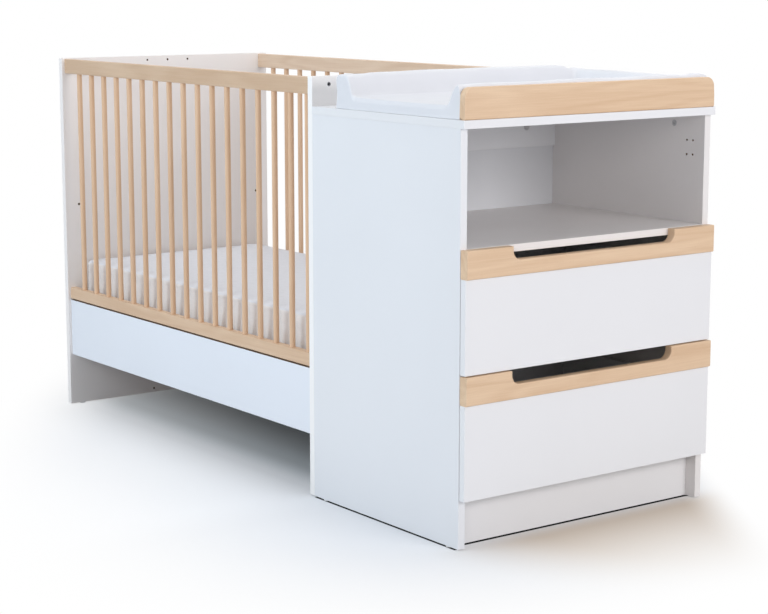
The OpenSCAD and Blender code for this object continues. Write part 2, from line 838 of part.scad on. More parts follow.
module lower_stretcher() {
    color("white") place() difference() {
        translate([stretcher_x, panel_t, glide_h]) cube([stretcher_t, chest_inner_w, lower_stretcher_h]);
        translate([groove_x, panel_t - eps, lower_stretcher_top - groove_depth])
            cube([groove_w, chest_inner_w + 2 * eps, groove_depth + eps]);
        lower_stretcher_joints() cam_cut(stretcher_t / 2);
        upright_dowels() dowel_cut();
        link_seats() link_hole();
    }
}

module back_panel() {
    color("whitesmoke") place() translate([back_panel_x, panel_t - groove_depth + 0.5, back_panel_z])
        cube([back_panel_t, chest_inner_w + 2 * groove_depth - 1, back_panel_top - back_panel_z]);
}

module shelf() {
    color("white") place() difference() {
        translate([shelf_x, panel_t, shelf_z - shelf_t])
            cube([side_front_x - shelf_x, chest_inner_w, shelf_t]);
        shelf_joints() cam_cut(shelf_t / 2);
        shelf_dowels() dowel_cut();
    }
}

module plinth() {
    color("white") place() difference() {
        translate([plinth_x, panel_t, glide_h]) cube([plinth_t, chest_inner_w, plinth_h]);
        plinth_joints() cam_cut(plinth_t / 2);
        upright_dowels() dowel_cut();
    }
}

module chest_glides() {
    color("white") place() side_glide_seats() glide();
}

module chest_cams() {
    color("silver") place() {
        top_joints() cam(panel_t / 2);
        shelf_joints() cam(shelf_t / 2);
        upper_stretcher_joints() cam(stretcher_t / 2);
        lower_stretcher_joints() cam(stretcher_t / 2);
        plinth_joints() cam(plinth_t / 2);
    }
}

module chest_cam_bolts() {
    color("silver") place() {
        top_joints() cam_bolt();
        shelf_joints() cam_bolt();
        upper_stretcher_joints() cam_bolt();
        lower_stretcher_joints() cam_bolt();
        plinth_joints() cam_bolt();
    }
}

module chest_dowels() {
    color("burlywood") place() {
        top_dowels() dowel();
        shelf_dowels() dowel();
        upright_dowels() dowel();
        front_board_pins() dowel();
    }
}

// Bolts that tie the stretchers to the inserts in the shared panel, drawn in the insert's frame
module link_hole() {
    translate([0, 0, link_head_z - eps]) cylinder(d = bolt_d + 1, h = stretcher_t + 2 * eps, $fn = 24);
}

module link_bolts() {
    color("silver") place() link_seats() {
        translate([0, 0, link_head_z - bolt_head_t]) cylinder(d = bolt_head_d, h = bolt_head_t);
        translate([0, 0, link_head_z]) cylinder(d = bolt_d, h = insert_l - 1 - link_head_z, $fn = 24);
    }
}

// ---------- runners ----------

// Near and far runner positions of the drawer whose front starts at height z
module runner_sides(z) {
    at_both_sides(chest_w) translate([0, 0, z + box_lift]) children();
}

module track_screw_seats() {
    for (x = [track_x + track_screw_rear, track_x + track_l - track_screw_front])
        translate([x, track_y, (track_floor + track_ceiling) / 2]) rotate([90, 0, 0]) children();
}

module track_screw() {
    translate([0, 0, -screw_head_h]) cylinder(d = screw_head_d, h = screw_head_h, $fn = 24);
    cylinder(d = screw_d, h = runner_sheet + track_screw_depth, $fn = 24);
}

module track_screw_cut() {
    translate([0, 0, -eps])
        cylinder(d = screw_d + 2 * fit, h = runner_sheet + track_screw_depth + 0.5, $fn = 24);
}

module sheet_track() {
    z0 = track_floor - runner_sheet;
    h = track_ceiling + runner_sheet - z0;
    translate([track_x, panel_t, z0]) cube([track_l, runner_sheet, h]);
    for (z = [z0, track_ceiling])
        translate([track_x, panel_t, z]) cube([track_l, runner_sheet + track_flange, runner_sheet]);
}

// A roller pin with a flat head, standing along +y from y0 and carrying the roller
module roller_pin(x, y0) {
    shank = roller_side_gap + roller_w + 0.1;
    translate([x, y0, roller_z]) rotate([-90, 0, 0]) {
        cylinder(d = roller_pin_d, h = shank, $fn = 24);
        translate([0, 0, shank]) cylinder(d = roller_head_d, h = roller_head_t, $fn = 24);
    }
}

module chest_runners() {
    color("gainsboro") place() for (z = [upper_drawer_z, lower_drawer_z]) runner_sides(z) {
        difference() {
            sheet_track();
            track_screw_seats() track_screw_cut();
        }
        roller_pin(front_roller_x, track_y);
    }
}

module runner_screws() {
    color("silver") place() for (z = [upper_drawer_z, lower_drawer_z])
        runner_sides(z) track_screw_seats() track_screw();
}

module roller() {
    rotate([90, 0, 0]) difference() {
        cylinder(d = roller_d, h = roller_w);
        translate([0, 0, -eps])
            cylinder(d = roller_pin_d + 2 * roller_play, h = roller_w + 2 * eps, $fn = 24);
    }
}

module front_rollers(z) {
    color("ivory") place() runner_sides(z)
        translate([front_roller_x, track_y + roller_side_gap + roller_w, roller_z]) roller();
}

module rear_rollers(z) {
    color("ivory") place() runner_sides(z)
        translate([rear_roller_x, member_y - roller_side_gap, roller_z]) roller();
}

// Runner member under the drawer side: web, foot under the side and lip over the rollers
module drawer_runners(z) {
    color("gainsboro") place() runner_sides(z) {
        translate([box_back_x, member_y, -runner_sheet]) cube([box_l, runner_sheet, lip_top + runner_sheet]);
        translate([box_back_x, member_y, -runner_sheet]) cube([box_l, runner_sheet + box_t, runner_sheet]);
        translate([box_back_x, track_y + 2, lip_top - runner_sheet])
            cube([box_l, member_y - track_y - 2 + runner_sheet, runner_sheet]);
        translate([0, member_y, 0]) mirror([0, 1, 0]) roller_pin(rear_roller_x, 0);
    }
}

// ---------- drawers ----------

module strip_outline() {
    r = cutout_r;
    difference() {
        square([front_l, strip_h]);
        translate([(front_l - cutout_w) / 2, strip_h - cutout_depth]) {
            translate([0, r]) square([cutout_w, cutout_depth - r + eps]);
            translate([r, 0]) square([cutout_w - 2 * r, cutout_depth]);
            for (y = [r, cutout_w - r]) translate([y, r]) circle(r, $fn = 64);
        }
    }
}

// Dowels between a front and its strip, with the front's upper edge at height z
module strip_pins(z) {
    for (i = [0 : strip_pin_count - 1])
        translate([fronts_x + front_t / 2,
                   strip_pin_y + i * (chest_w - 2 * strip_pin_y) / (strip_pin_count - 1), z])
            rotate([0, 90, 0]) children();
}

module drawer_strip(z, h) {
    color("burlywood") place() difference() {
        translate([fronts_x, front_end_gap, z + h - strip_h]) rotate([90, 0, 90])
            linear_extrude(strip_t) strip_outline();
        strip_pins(z + h - strip_h) dowel_cut();
    }
}

// Joints between the front and the drawer sides; the cams look outwards
module box_joints(z) {
    at_both_sides(chest_w) translate([fronts_x, box_y + box_t / 2, z + box_lift + box_h - box_cam_drop])
        rotate([0, 0, 180]) rotate([-90, 0, 0]) children();
}

module box_front_dowels(z) {
    at_both_sides(chest_w) translate([fronts_x, box_y + box_t / 2, z + box_lift + box_dowel_up])
        rotate([0, 0, 180]) children();
}

// Joints between the drawer sides and the back
module box_back_dowels(z) {
    at_both_sides(chest_w)
        for (up = [box_dowel_up, box_h - box_dowel_up])
            translate([box_back_x + box_t / 2, box_y + box_t, z + box_lift + up]) rotate([0, 0, 90])
                children();
}

module box_dowel() {
    translate([-box_dowel_panel, 0, 0]) rotate([0, 90, 0])
        cylinder(d = box_dowel_d - 2 * fit, h = box_dowel_l, $fn = 24);
}

module box_dowel_cut() {
    translate([-box_dowel_panel - 0.5, 0, 0]) rotate([0, 90, 0])
        cylinder(d = box_dowel_d, h = box_dowel_l + 1, $fn = 24);
}

module bottom_groove(z) {
    translate([box_back_x - eps, box_y + box_t - groove_depth, z + box_lift + bottom_lift - 0.2])
        cube([box_l + groove_depth, box_w - 2 * box_t + 2 * groove_depth, bottom_groove_w]);
}

module drawer_front(z, h) {
    color("white") place() difference() {
        translate([fronts_x, front_end_gap, z]) cube([front_t, front_l, h - strip_h]);
        strip_pins(z + h - strip_h) dowel_cut();
        box_joints(z) cam_bolt_cut();
        box_front_dowels(z) box_dowel_cut();
        bottom_groove(z);
    }
}

module drawer_side_blank(z) {
    translate([box_back_x, box_y, z + box_lift]) cube([box_l, box_t, box_h]);
}

module drawer_side_cuts(z) {
    box_joints(z) cam_cut(box_t / 2);
    box_front_dowels(z) box_dowel_cut();
    box_back_dowels(z) box_dowel_cut();
    bottom_groove(z);
}

module drawer_near_side(z) {
    color("white") place() difference() {
        drawer_side_blank(z);
        drawer_side_cuts(z);
    }
}

module drawer_far_side(z) {
    color("white") place() difference() {
        translate([0, chest_w, 0]) mirror([0, 1, 0]) drawer_side_blank(z);
        drawer_side_cuts(z);
    }
}

module drawer_back(z) {
    up = bottom_lift + bottom_t + 0.2;
    color("white") place() difference() {
        translate([box_back_x, box_y + box_t, z + box_lift + up])
            cube([box_t, box_w - 2 * box_t, box_h - up]);
        box_back_dowels(z) box_dowel_cut();
    }
}

module drawer_bottom(z) {
    color("whitesmoke") place()
        translate([box_back_x, box_y + box_t - groove_depth + 0.5, z + box_lift + bottom_lift])
            cube([box_l + groove_depth - 0.5, box_w - 2 * box_t + 2 * groove_depth - 1, bottom_t]);
}

module drawer_fittings(z) {
    color("silver") place() {
        box_joints(z) cam(box_t / 2);
        box_joints(z) cam_bolt();
    }
}

module drawer_dowels(z, h) {
    color("burlywood") place() {
        box_front_dowels(z) box_dowel();
        box_back_dowels(z) box_dowel();
        strip_pins(z + h - strip_h) dowel();
    }
}

module upper_drawer_front() { drawer_front(upper_drawer_z, upper_drawer_h); }
module upper_drawer_strip() { drawer_strip(upper_drawer_z, upper_drawer_h); }
module upper_drawer_near_side() { drawer_near_side(upper_drawer_z); }
module upper_drawer_far_side() { drawer_far_side(upper_drawer_z); }
module upper_drawer_back() { drawer_back(upper_drawer_z); }
module upper_drawer_bottom() { drawer_bottom(upper_drawer_z); }
module upper_drawer_runners() { drawer_runners(upper_drawer_z); }
module upper_drawer_fittings() { drawer_fittings(upper_drawer_z); }
module upper_drawer_dowels() { drawer_dowels(upper_drawer_z, upper_drawer_h); }
module upper_front_rollers() { front_rollers(upper_drawer_z); }
module upper_rear_rollers() { rear_rollers(upper_drawer_z); }
module lower_drawer_front() { drawer_front(lower_drawer_z, lower_drawer_h); }
module lower_drawer_strip() { drawer_strip(lower_drawer_z, lower_drawer_h); }
module lower_drawer_near_side() { drawer_near_side(lower_drawer_z); }
module lower_drawer_far_side() { drawer_far_side(lower_drawer_z); }
module lower_drawer_back() { drawer_back(lower_drawer_z); }
module lower_drawer_bottom() { drawer_bottom(lower_drawer_z); }
module lower_drawer_runners() { drawer_runners(lower_drawer_z); }
module lower_drawer_fittings() { drawer_fittings(lower_drawer_z); }
module lower_drawer_dowels() { drawer_dowels(lower_drawer_z, lower_drawer_h); }
module lower_front_rollers() { front_rollers(lower_drawer_z); }
module lower_rear_rollers() { rear_rollers(lower_drawer_z); }

// ---------- changing mat ----------

// Smooth fall from 1 to 0 while d goes from a to b
function fall(d, a, b) = d <= a ? 1 : d >= b ? 0 : let (s = (d - a) / (b - a)) 1 - s * s * (3 - 2 * s);
// Drop of a rounded edge of radius r at distance d from it
function round_off(d, r) = d >= r ? 0 : r - sqrt(r * r - (r - d) * (r - d));
// Height of the mat's upper face; u runs from the crib side to the front, v from near to far
function mat_height(u, v) =
    let (
        crib_edge = (mat_crib_edge_h + 2 * sin(v / mat_w * 200 - 10) + 0.8 * sin(v * 1.9)) * fall(u, 40, 70),
        front_edge = (mat_front_edge_h + 1.2 * sin(v * 1.3 + 40)) * fall(mat_l - u, 10, 64),
        far_edge = (mat_far_edge_h + 1.5 * sin(u * 0.8)) * fall(mat_w - v, 42, 80),
        floor_h = mat_floor_t - 1.5 * sin(180 * u / mat_l)
    )
    max(floor_h, crib_edge, front_edge, far_edge)
    - max(round_off(u, mat_edge_r), round_off(mat_l - u, mat_edge_r),
          round_off(mat_w - v, mat_edge_r), round_off(v, mat_edge_r / 2));

function edge_steps(r) = [0, 0.06 * r, 0.25 * r, 0.6 * r, r];
function mat_us() = concat(edge_steps(mat_edge_r), [26, 40, 47, 52, 57, 62, 70, 110, mat_l / 2, mat_l - 110],
    [for (d = [64, 52, 42, 32, 22]) mat_l - d], [for (i = [4 : -1 : 0]) mat_l - edge_steps(mat_edge_r)[i]]);
function mat_vs() = concat([0, mat_edge_r / 8, mat_edge_r / 2],
    [for (i = [1 : 10]) i * (mat_w - 110) / 11], [for (d = [80, 68, 60, 52, 42, 27]) mat_w - d],
    [for (i = [4 : -1 : 0]) mat_w - edge_steps(mat_edge_r)[i]]);

// Raised edges along the crib side, the front board and the far end; the near end is open
module changing_mat() {
    us = mat_us();
    vs = mat_vs();
    n = len(us);
    m = len(vs);
    top = [for (v = vs) for (u = us) [u, v, mat_height(u, v)]];
    low = [for (v = vs) for (u = us) [u, v, 0]];
    k = n * m;
    faces = concat(
        [for (j = [0 : m - 2]) for (i = [0 : n - 2]) each [
            [j * n + i, (j + 1) * n + i, j * n + i + 1],
            [j * n + i + 1, (j + 1) * n + i, (j + 1) * n + i + 1],
            [k + j * n + i, k + j * n + i + 1, k + (j + 1) * n + i],
            [k + j * n + i + 1, k + (j + 1) * n + i + 1, k + (j + 1) * n + i]]],
        [for (i = [0 : n - 2]) each [
            [i, i + 1, k + i],
            [i + 1, k + i + 1, k + i],
            [(m - 1) * n + i, k + (m - 1) * n + i, (m - 1) * n + i + 1],
            [(m - 1) * n + i + 1, k + (m - 1) * n + i, k + (m - 1) * n + i + 1]]],
        [for (j = [0 : m - 2]) each [
            [j * n, k + j * n, (j + 1) * n],
            [(j + 1) * n, k + j * n, k + (j + 1) * n],
            [j * n + n - 1, (j + 1) * n + n - 1, k + j * n + n - 1],
            [(j + 1) * n + n - 1, k + (j + 1) * n + n - 1, k + j * n + n - 1]]]
    );
    color("white") place()
        translate([front_board_x - soft_gap - mat_l, mat_end_gap, slab_top + soft_gap])
            polyhedron(concat(top, low), faces, convexity = 4);
}

far_end_panel();
shared_end_panel();
near_top_rail();
back_top_rail();
near_bottom_rail();
back_bottom_rail();
near_bars();
back_bars();
near_lower_board();
back_lower_board();
base_near_beam();
base_back_beam();
base_slats();
slat_screws();
base_bolts();
base_barrel_nuts();
crib_cams();
crib_cam_bolts();
crib_glides();
panel_inserts();
mattress();
chest_near_side();
chest_far_side();
top_slab();
front_board();
upper_stretcher();
lower_stretcher();
back_panel();
shelf();
plinth();
chest_glides();
chest_cams();
chest_cam_bolts();
chest_dowels();
link_bolts();
changing_mat();
chest_runners();
runner_screws();
upper_drawer_front();
upper_drawer_strip();
upper_drawer_near_side();
upper_drawer_far_side();
upper_drawer_back();
upper_drawer_bottom();
upper_drawer_runners();
upper_drawer_fittings();
upper_drawer_dowels();
upper_front_rollers();
upper_rear_rollers();
lower_drawer_front();
lower_drawer_strip();
lower_drawer_near_side();
lower_drawer_far_side();
lower_drawer_back();
lower_drawer_bottom();
lower_drawer_runners();
lower_drawer_fittings();
lower_drawer_dowels();
lower_front_rollers();
lower_rear_rollers();
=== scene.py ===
import json
import math
import random

import bmesh
import bpy
import numpy as np
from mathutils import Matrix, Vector


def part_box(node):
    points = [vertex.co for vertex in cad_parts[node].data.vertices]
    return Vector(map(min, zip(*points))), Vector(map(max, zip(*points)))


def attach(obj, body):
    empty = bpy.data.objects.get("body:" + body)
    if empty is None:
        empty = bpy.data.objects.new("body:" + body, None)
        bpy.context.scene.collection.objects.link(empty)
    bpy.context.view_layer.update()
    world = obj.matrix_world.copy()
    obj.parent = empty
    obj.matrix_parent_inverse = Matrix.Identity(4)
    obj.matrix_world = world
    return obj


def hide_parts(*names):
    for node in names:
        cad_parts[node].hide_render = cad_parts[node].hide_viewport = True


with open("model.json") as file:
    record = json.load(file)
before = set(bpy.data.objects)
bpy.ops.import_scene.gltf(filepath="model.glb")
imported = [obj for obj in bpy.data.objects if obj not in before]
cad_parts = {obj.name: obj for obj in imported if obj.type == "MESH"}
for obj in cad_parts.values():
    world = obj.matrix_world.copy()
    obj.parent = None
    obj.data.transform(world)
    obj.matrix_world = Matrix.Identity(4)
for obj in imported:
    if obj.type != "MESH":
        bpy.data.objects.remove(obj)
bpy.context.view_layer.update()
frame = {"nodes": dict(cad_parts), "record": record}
NODES = frame["nodes"]
SLOT_OF = {s["node"]: s["material_slot"] for s in frame["record"]["subparts"]}
BODY_OF = {n: b for b, ns in frame["record"]["behaviour"]["bodies"].items() for n in ns}
scene = bpy.context.scene

# ---------------------------------------------------------------- camera

# Fitted to the straight edges in the photograph
CAMERA_AT = (3.94701, -2.81985, 1.20187)
CAMERA_TURN = 53.579
CAMERA_PITCH = 9.7545
LENS_MM = 89.89
SENSOR_MM = 36.0


def make_camera():
    data = bpy.data.cameras.new("camera")
    data.sensor_width = SENSOR_MM
    data.lens = LENS_MM
    data.clip_start = 0.1
    data.clip_end = 60.0
    camera = bpy.data.objects.new("camera", data)
    camera.location = CAMERA_AT
    camera.rotation_euler = (math.radians(90 - CAMERA_PITCH), 0, math.radians(CAMERA_TURN))
    scene.collection.objects.link(camera)
    scene.camera = camera


make_camera()
scene.view_settings.view_transform = "Standard"

# ---------------------------------------------------------------- shader helpers


def rgba(r, g, b):
    return (r, g, b, 1.0)


def dimmed(colour, share):
    return tuple(c * share for c in colour)


def tinted(colour, tint):
    return tuple(c * t for c, t in zip(colour, tint))


class Shader:
    """A node tree under construction in a material or world; sockets are passed on as inputs."""

    def __init__(self, holder):
        self.holder = holder
        holder.use_nodes = True
        self.tree = holder.node_tree
        self.tree.nodes.clear()

    def add(self, kind, inputs=None, out=0, **settings):
        """A new node; returns the output with the name or number in out, if the node has one."""
        node = self.tree.nodes.new("ShaderNode" + kind)
        for key, value in settings.items():
            setattr(node, key, value)
        for key, value in (inputs or {}).items():
            if isinstance(value, bpy.types.NodeSocket):
                self.tree.links.new(value, node.inputs[key])
            else:
                node.inputs[key].default_value = value
        return node.outputs[out] if len(node.outputs) else None

    def math(self, operation, a, b=0.0, clamp=False):
        return self.add("Math", {0: a, 1: b}, operation=operation, use_clamp=clamp)

    def plus(self, first, *others):
        for other in others:
            first = self.math("ADD", first, other)
        return first

    def times(self, first, *others):
        for other in others:
            first = self.math("MULTIPLY", first, other)
        return first

    def weighted(self, *pairs):
        """Sum of values, each times its weight."""
        return self.plus(*[self.times(value, weight) for value, weight in pairs])

    def length(self, a, b):
        return self.math("SQRT", self.plus(self.times(a, a), self.times(b, b)))

    def mix(self, factor, a, b, blend="MIX"):
        """Mix of two colours; 0 is the node's factor, 6 and 7 its colours, and 2 its colour output."""
        return self.add("Mix", {0: factor, 6: a, 7: b}, out=2, data_type="RGBA",
                        blend_type=blend, clamp_factor=True)

    def remap(self, value, low, high, to_low, to_high):
        return self.add("MapRange", {0: value, 1: low, 2: high, 3: to_low, 4: to_high})

    def smooth(self, value, start, end, at_start=0.0, at_end=1.0):
        return self.add("MapRange", {0: value, 1: start, 2: end, 3: at_start, 4: at_end},
                        interpolation_type="SMOOTHSTEP")

    def object_point(self):
        return self.add("TexCoord", out="Object")

    def facing(self, axis):
        """How far the surface faces along an axis, from -1 to 1."""
        return self.add("SeparateXYZ", {0: self.add("NewGeometry", out="Normal")}, out=axis)

    def stretch(self, point, scale):
        return self.add("Mapping", {"Vector": point, "Scale": scale})

    def grained(self, point, axis, repeats):
        """Stretches a pattern along the grain; repeats per metre along it and across it."""
        scale = [repeats[1]] * 3
        scale["XYZ".index(axis)] = repeats[0]
        return self.stretch(point, tuple(scale))

    def noise(self, point, scale=1.0, detail=2.0, roughness=0.5, distortion=0.0):
        return self.add("TexNoise", {"Vector": point, "Scale": scale, "Detail": detail,
                                     "Roughness": roughness, "Distortion": distortion})

    def mottled(self, pattern, tint, share, low=0.35, high=0.65):
        """A tint that is dimmed to a share of itself where the pattern is low."""
        factor = self.remap(pattern, low, high, 0.0, 1.0)
        return self.mix(factor, rgba(*dimmed(tint, share)), rgba(*tint))

    def beyond(self, axes, middle, half):
        """Distance outside a rectangle on the floor."""
        past = []
        for axis, centre, reach in zip(axes, middle, half):
            off = self.math("ABSOLUTE", self.math("SUBTRACT", axis, centre))
            past.append(self.math("MAXIMUM", self.math("SUBTRACT", off, reach), 0.0))
        return self.length(*past)

    def lean(self, axes, direction, offset):
        """Signed distance from a straight line on the floor."""
        return self.plus(self.times(axes[0], direction[0]), self.times(axes[1], direction[1]), offset)

    def seen(self):
        """1 for the rays that show the background: direct, mirrored or through glass."""
        path = self.tree.nodes.new("ShaderNodeLightPath")
        direct = self.math("MAXIMUM", path.outputs["Is Camera Ray"], path.outputs["Is Glossy Ray"])
        return self.math("MAXIMUM", direct, path.outputs["Is Transmission Ray"])

    def bump(self, height, strength, distance, normal=None):
        inputs = {"Height": height, "Strength": strength, "Distance": distance}
        if normal is not None:
            inputs["Normal"] = normal
        return self.add("Bump", inputs)

    def surface(self, inputs):
        """Finishes a material and returns it."""
        shader = self.add("BsdfPrincipled", inputs)
        self.add("OutputMaterial", {"Surface": shader})
        return self.holder


def new_shader(name):
    return Shader(bpy.data.materials.new(name))


# ---------------------------------------------------------------- materials

# Wood patterns, in repeats per metre along and across the grain
GROWTH = (1.1, 11.0)
TONES = (1.6, 26.0)
STREAKS = (7.0, 420.0)
FIBRES = (45.0, 2300.0)
FLECKS = (210.0, 1050.0)
FLECK_PATCHES = (30.0, 160.0)
RING_COUNT = 62.0
FLECK_TINT = (0.72, 0.64, 0.55)
SEED_SHIFT = (0.37, 0.73, 0.19)


def wood(name, axis, light, dark, seed, roughness=0.46, figure=0.45):
    """Planed wood with its grain along an axis: rings, streaks, fibres and short dark flecks."""
    s = new_shader(name)
    moved = s.add("VectorMath", {0: s.object_point(), 1: dimmed(SEED_SHIFT, seed)})

    def pattern(repeats, detail, rough=0.5, distortion=0.0):
        return s.noise(s.grained(moved, axis, repeats), 1.0, detail, rough, distortion)

    growth = pattern(GROWTH, 2.0, distortion=0.25)
    rings = s.remap(s.math("SINE", s.times(growth, RING_COUNT)), -1.0, 1.0, 0.0, 1.0)
    tone = pattern(TONES, 3.0, 0.55)
    streak = pattern(STREAKS, 3.0, 0.6)
    fibre = pattern(FIBRES, 2.0, 0.6)
    mixed = s.weighted((rings, 0.30 * figure), (tone, 0.55), (streak, 0.42), (fibre, 0.12))
    colour = s.mix(s.remap(mixed, 0.36, 0.88, 0.0, 1.0), rgba(*dark), rgba(*light))
    cells = s.add("TexVoronoi", {"Vector": s.grained(moved, axis, FLECKS), "Scale": 1.0})
    fleck = s.remap(cells, 0.10, 0.24, 1.0, 0.0)
    chance = s.remap(pattern(FLECK_PATCHES, 1.0), 0.45, 0.6, 0.0, 0.45)
    fleck = s.math("MULTIPLY", fleck, chance, clamp=True)
    colour = s.mix(fleck, colour, rgba(*tinted(dark, FLECK_TINT)))
    rough = s.remap(streak, 0.2, 0.8, roughness - 0.05, roughness + 0.07)
    normal = s.bump(fibre, strength=0.10, distance=0.00012)
    normal = s.bump(streak, strength=0.12, distance=0.0002, normal=normal)
    return s.surface({"Base Color": colour, "Roughness": rough, "Normal": normal,
                      "Specular IOR Level": 0.42})


def white_board(name, tint=(0.800, 0.806, 0.826)):
    """White melamine: faint clouds, a slight orange peel and fine pores."""
    s = new_shader(name)
    here = s.object_point()
    colour = s.mottled(s.noise(here, scale=2.6), tint, 0.985)
    dapple = s.noise(here, scale=260.0, roughness=0.45)
    pores = s.noise(here, scale=1500.0, roughness=0.6)
    rough = s.remap(s.noise(here, scale=9.0, detail=3.0), 0.3, 0.7, 0.34, 0.43)
    normal = s.bump(dapple, strength=0.05, distance=0.0003)
    normal = s.bump(pores, strength=0.05, distance=0.0001, normal=normal)
    return s.surface({"Base Color": colour, "Roughness": rough, "Normal": normal,
                      "Specular IOR Level": 0.45})


def hardboard(name, axis):
    """Thin board, lacquered white on the side that shows and bare brown fibre behind."""
    s = new_shader(name)
    here = s.object_point()
    front = s.remap(s.facing(axis), 0.4, 0.6, 0.0, 1.0)
    mesh = s.noise(here, scale=520.0, detail=3.0, roughness=0.65)
    fibre = s.noise(here, scale=45.0, detail=4.0, roughness=0.6)
    brown = s.mix(fibre, rgba(0.20, 0.115, 0.062), rgba(0.31, 0.19, 0.11))
    white = s.mix(s.noise(here, scale=3.0), rgba(0.70, 0.71, 0.735), rgba(0.72, 0.73, 0.755))
    colour = s.mix(front, brown, white)
    rough = s.remap(front, 0.0, 1.0, 0.85, 0.42)
    normal = s.bump(mesh, strength=s.remap(front, 0.0, 1.0, 0.45, 0.05), distance=0.0004)
    return s.surface({"Base Color": colour, "Roughness": rough, "Normal": normal})


def chipboard(name):
    """Pressed chips where a drill or a saw has gone through the white skin."""
    s = new_shader(name)
    here = s.object_point()
    chips = s.add("TexVoronoi", {"Vector": s.stretch(here, (700.0, 700.0, 1600.0)), "Scale": 1.0})
    tone = s.noise(here, scale=900.0, detail=3.0, roughness=0.6)
    mixed = s.weighted((chips, 0.5), (tone, 0.6))
    colour = s.mix(mixed, rgba(0.115, 0.070, 0.040), rgba(0.32, 0.215, 0.13))
    normal = s.bump(mixed, strength=0.5, distance=0.0004)
    return s.surface({"Base Color": colour, "Roughness": 0.92, "Normal": normal})


def metal(name, tint, low, high):
    """Plated metal with fine scratches; its roughness runs from low to high."""
    s = new_shader(name)
    here = s.object_point()
    scratch = s.noise(s.stretch(here, (240.0, 1440.0, 480.0)), detail=3.0, roughness=0.6)
    patina = s.noise(here, scale=60.0, detail=3.0, roughness=0.6)
    colour = s.mottled(patina, tint, 0.86, 0.3, 0.7)
    rough = s.remap(scratch, 0.25, 0.75, low, high)
    normal = s.bump(scratch, strength=0.06, distance=0.0001)
    return s.surface({"Base Color": colour, "Roughness": rough, "Metallic": 1.0, "Normal": normal})


def plastic(name, tint, roughness, grain=900.0, subsurface=0.0):
    """Moulded plastic or powder coat with a fine grain, in repeats per metre."""
    s = new_shader(name)
    here = s.object_point()
    colour = s.mix(s.noise(here, scale=30.0), rgba(*dimmed(tint, 0.95)), rgba(*tint))
    fine = s.noise(here, scale=grain, roughness=0.55)
    rough = s.remap(fine, 0.3, 0.7, roughness - 0.04, roughness + 0.05)
    normal = s.bump(fine, strength=0.08, distance=0.00015)
    return s.surface({"Base Color": colour, "Roughness": rough, "Normal": normal,
                      "Subsurface Weight": subsurface, "Subsurface Scale": 0.002})


KNIT_PITCH = 0.0011


def cotton(name, tint, side):
    """Fine knitted cotton: crossing rows of loops, soft sheen; side tints the upright faces, which paints
    warm light bounced onto them from the wood.
    """
    s = new_shader(name)
    here = s.object_point()
    wobble = s.times(s.noise(here, scale=120.0), 3.0)
    rows = []
    for axis in "XYZ":
        place = s.add("SeparateXYZ", {0: here}, out=axis)
        rows.append(s.math("SINE", s.plus(s.times(place, 2 * math.pi / KNIT_PITCH), wobble)))
    weave = s.times(s.plus(*rows), 0.33)
    fuzz = s.noise(here, scale=1800.0, roughness=0.6)
    slub = s.noise(s.stretch(here, (60.0, 60.0, 320.0)), detail=3.0, roughness=0.6)
    colour = s.mottled(s.weighted((slub, 0.6), (fuzz, 0.4)), tint, 0.93)
    # Painted light: the upright faces are tinted warmer than the top, standing in for warm bounce from the
    # wood, while the top keeps a cooler tint
    upright = s.smooth(s.facing("Z"), 0.35, 0.80, 1.0, 0.0)
    colour = s.mix(upright, colour, rgba(*side), "MULTIPLY")
    normal = s.bump(weave, strength=0.22, distance=0.0003)
    normal = s.bump(fuzz, strength=0.15, distance=0.0002, normal=normal)
    return s.surface({"Base Color": colour, "Roughness": 0.88, "Normal": normal,
                      "Sheen Weight": 0.18, "Sheen Roughness": 0.5})


def coated_cloth(name, tint):
    """Smooth wipe-clean cover with a faint leathery emboss."""
    s = new_shader(name)
    here = s.object_point()
    colour = s.mottled(s.noise(here, scale=7.0, detail=3.0), tint, 0.975)
    cells = s.add("TexVoronoi", {"Vector": here, "Scale": 850.0})
    rough = s.remap(s.noise(here, scale=22.0, detail=3.0), 0.3, 0.7, 0.36, 0.46)
    normal = s.bump(cells, strength=0.10, distance=0.00015)
    normal = s.bump(s.noise(here, scale=38.0), strength=0.10, distance=0.0012, normal=normal)
    return s.surface({"Base Color": colour, "Roughness": rough, "Normal": normal,
                      "Specular IOR Level": 0.4, "Coat Weight": 0.06, "Coat Roughness": 0.35})


BEECH_LIGHT = (0.780, 0.585, 0.405)
BEECH_DARK = (0.625, 0.420, 0.262)
BAR_LIGHT = (0.800, 0.565, 0.385)
BAR_DARK = (0.650, 0.415, 0.255)
BASE_LIGHT = (0.700, 0.520, 0.330)
BASE_DARK = (0.520, 0.340, 0.190)
# Rails tinted apart from the strips: the near rails a little darker, and the back top rail paler and bluer, a
# painted haze
RAIL_TINTS = {"near_top_rail": (0.865, 0.860, 0.880), "near_bottom_rail": (0.945, 0.925, 0.935),
              "back_top_rail": (1.035, 1.100, 1.230)}

WHITE = white_board("white_melamine")
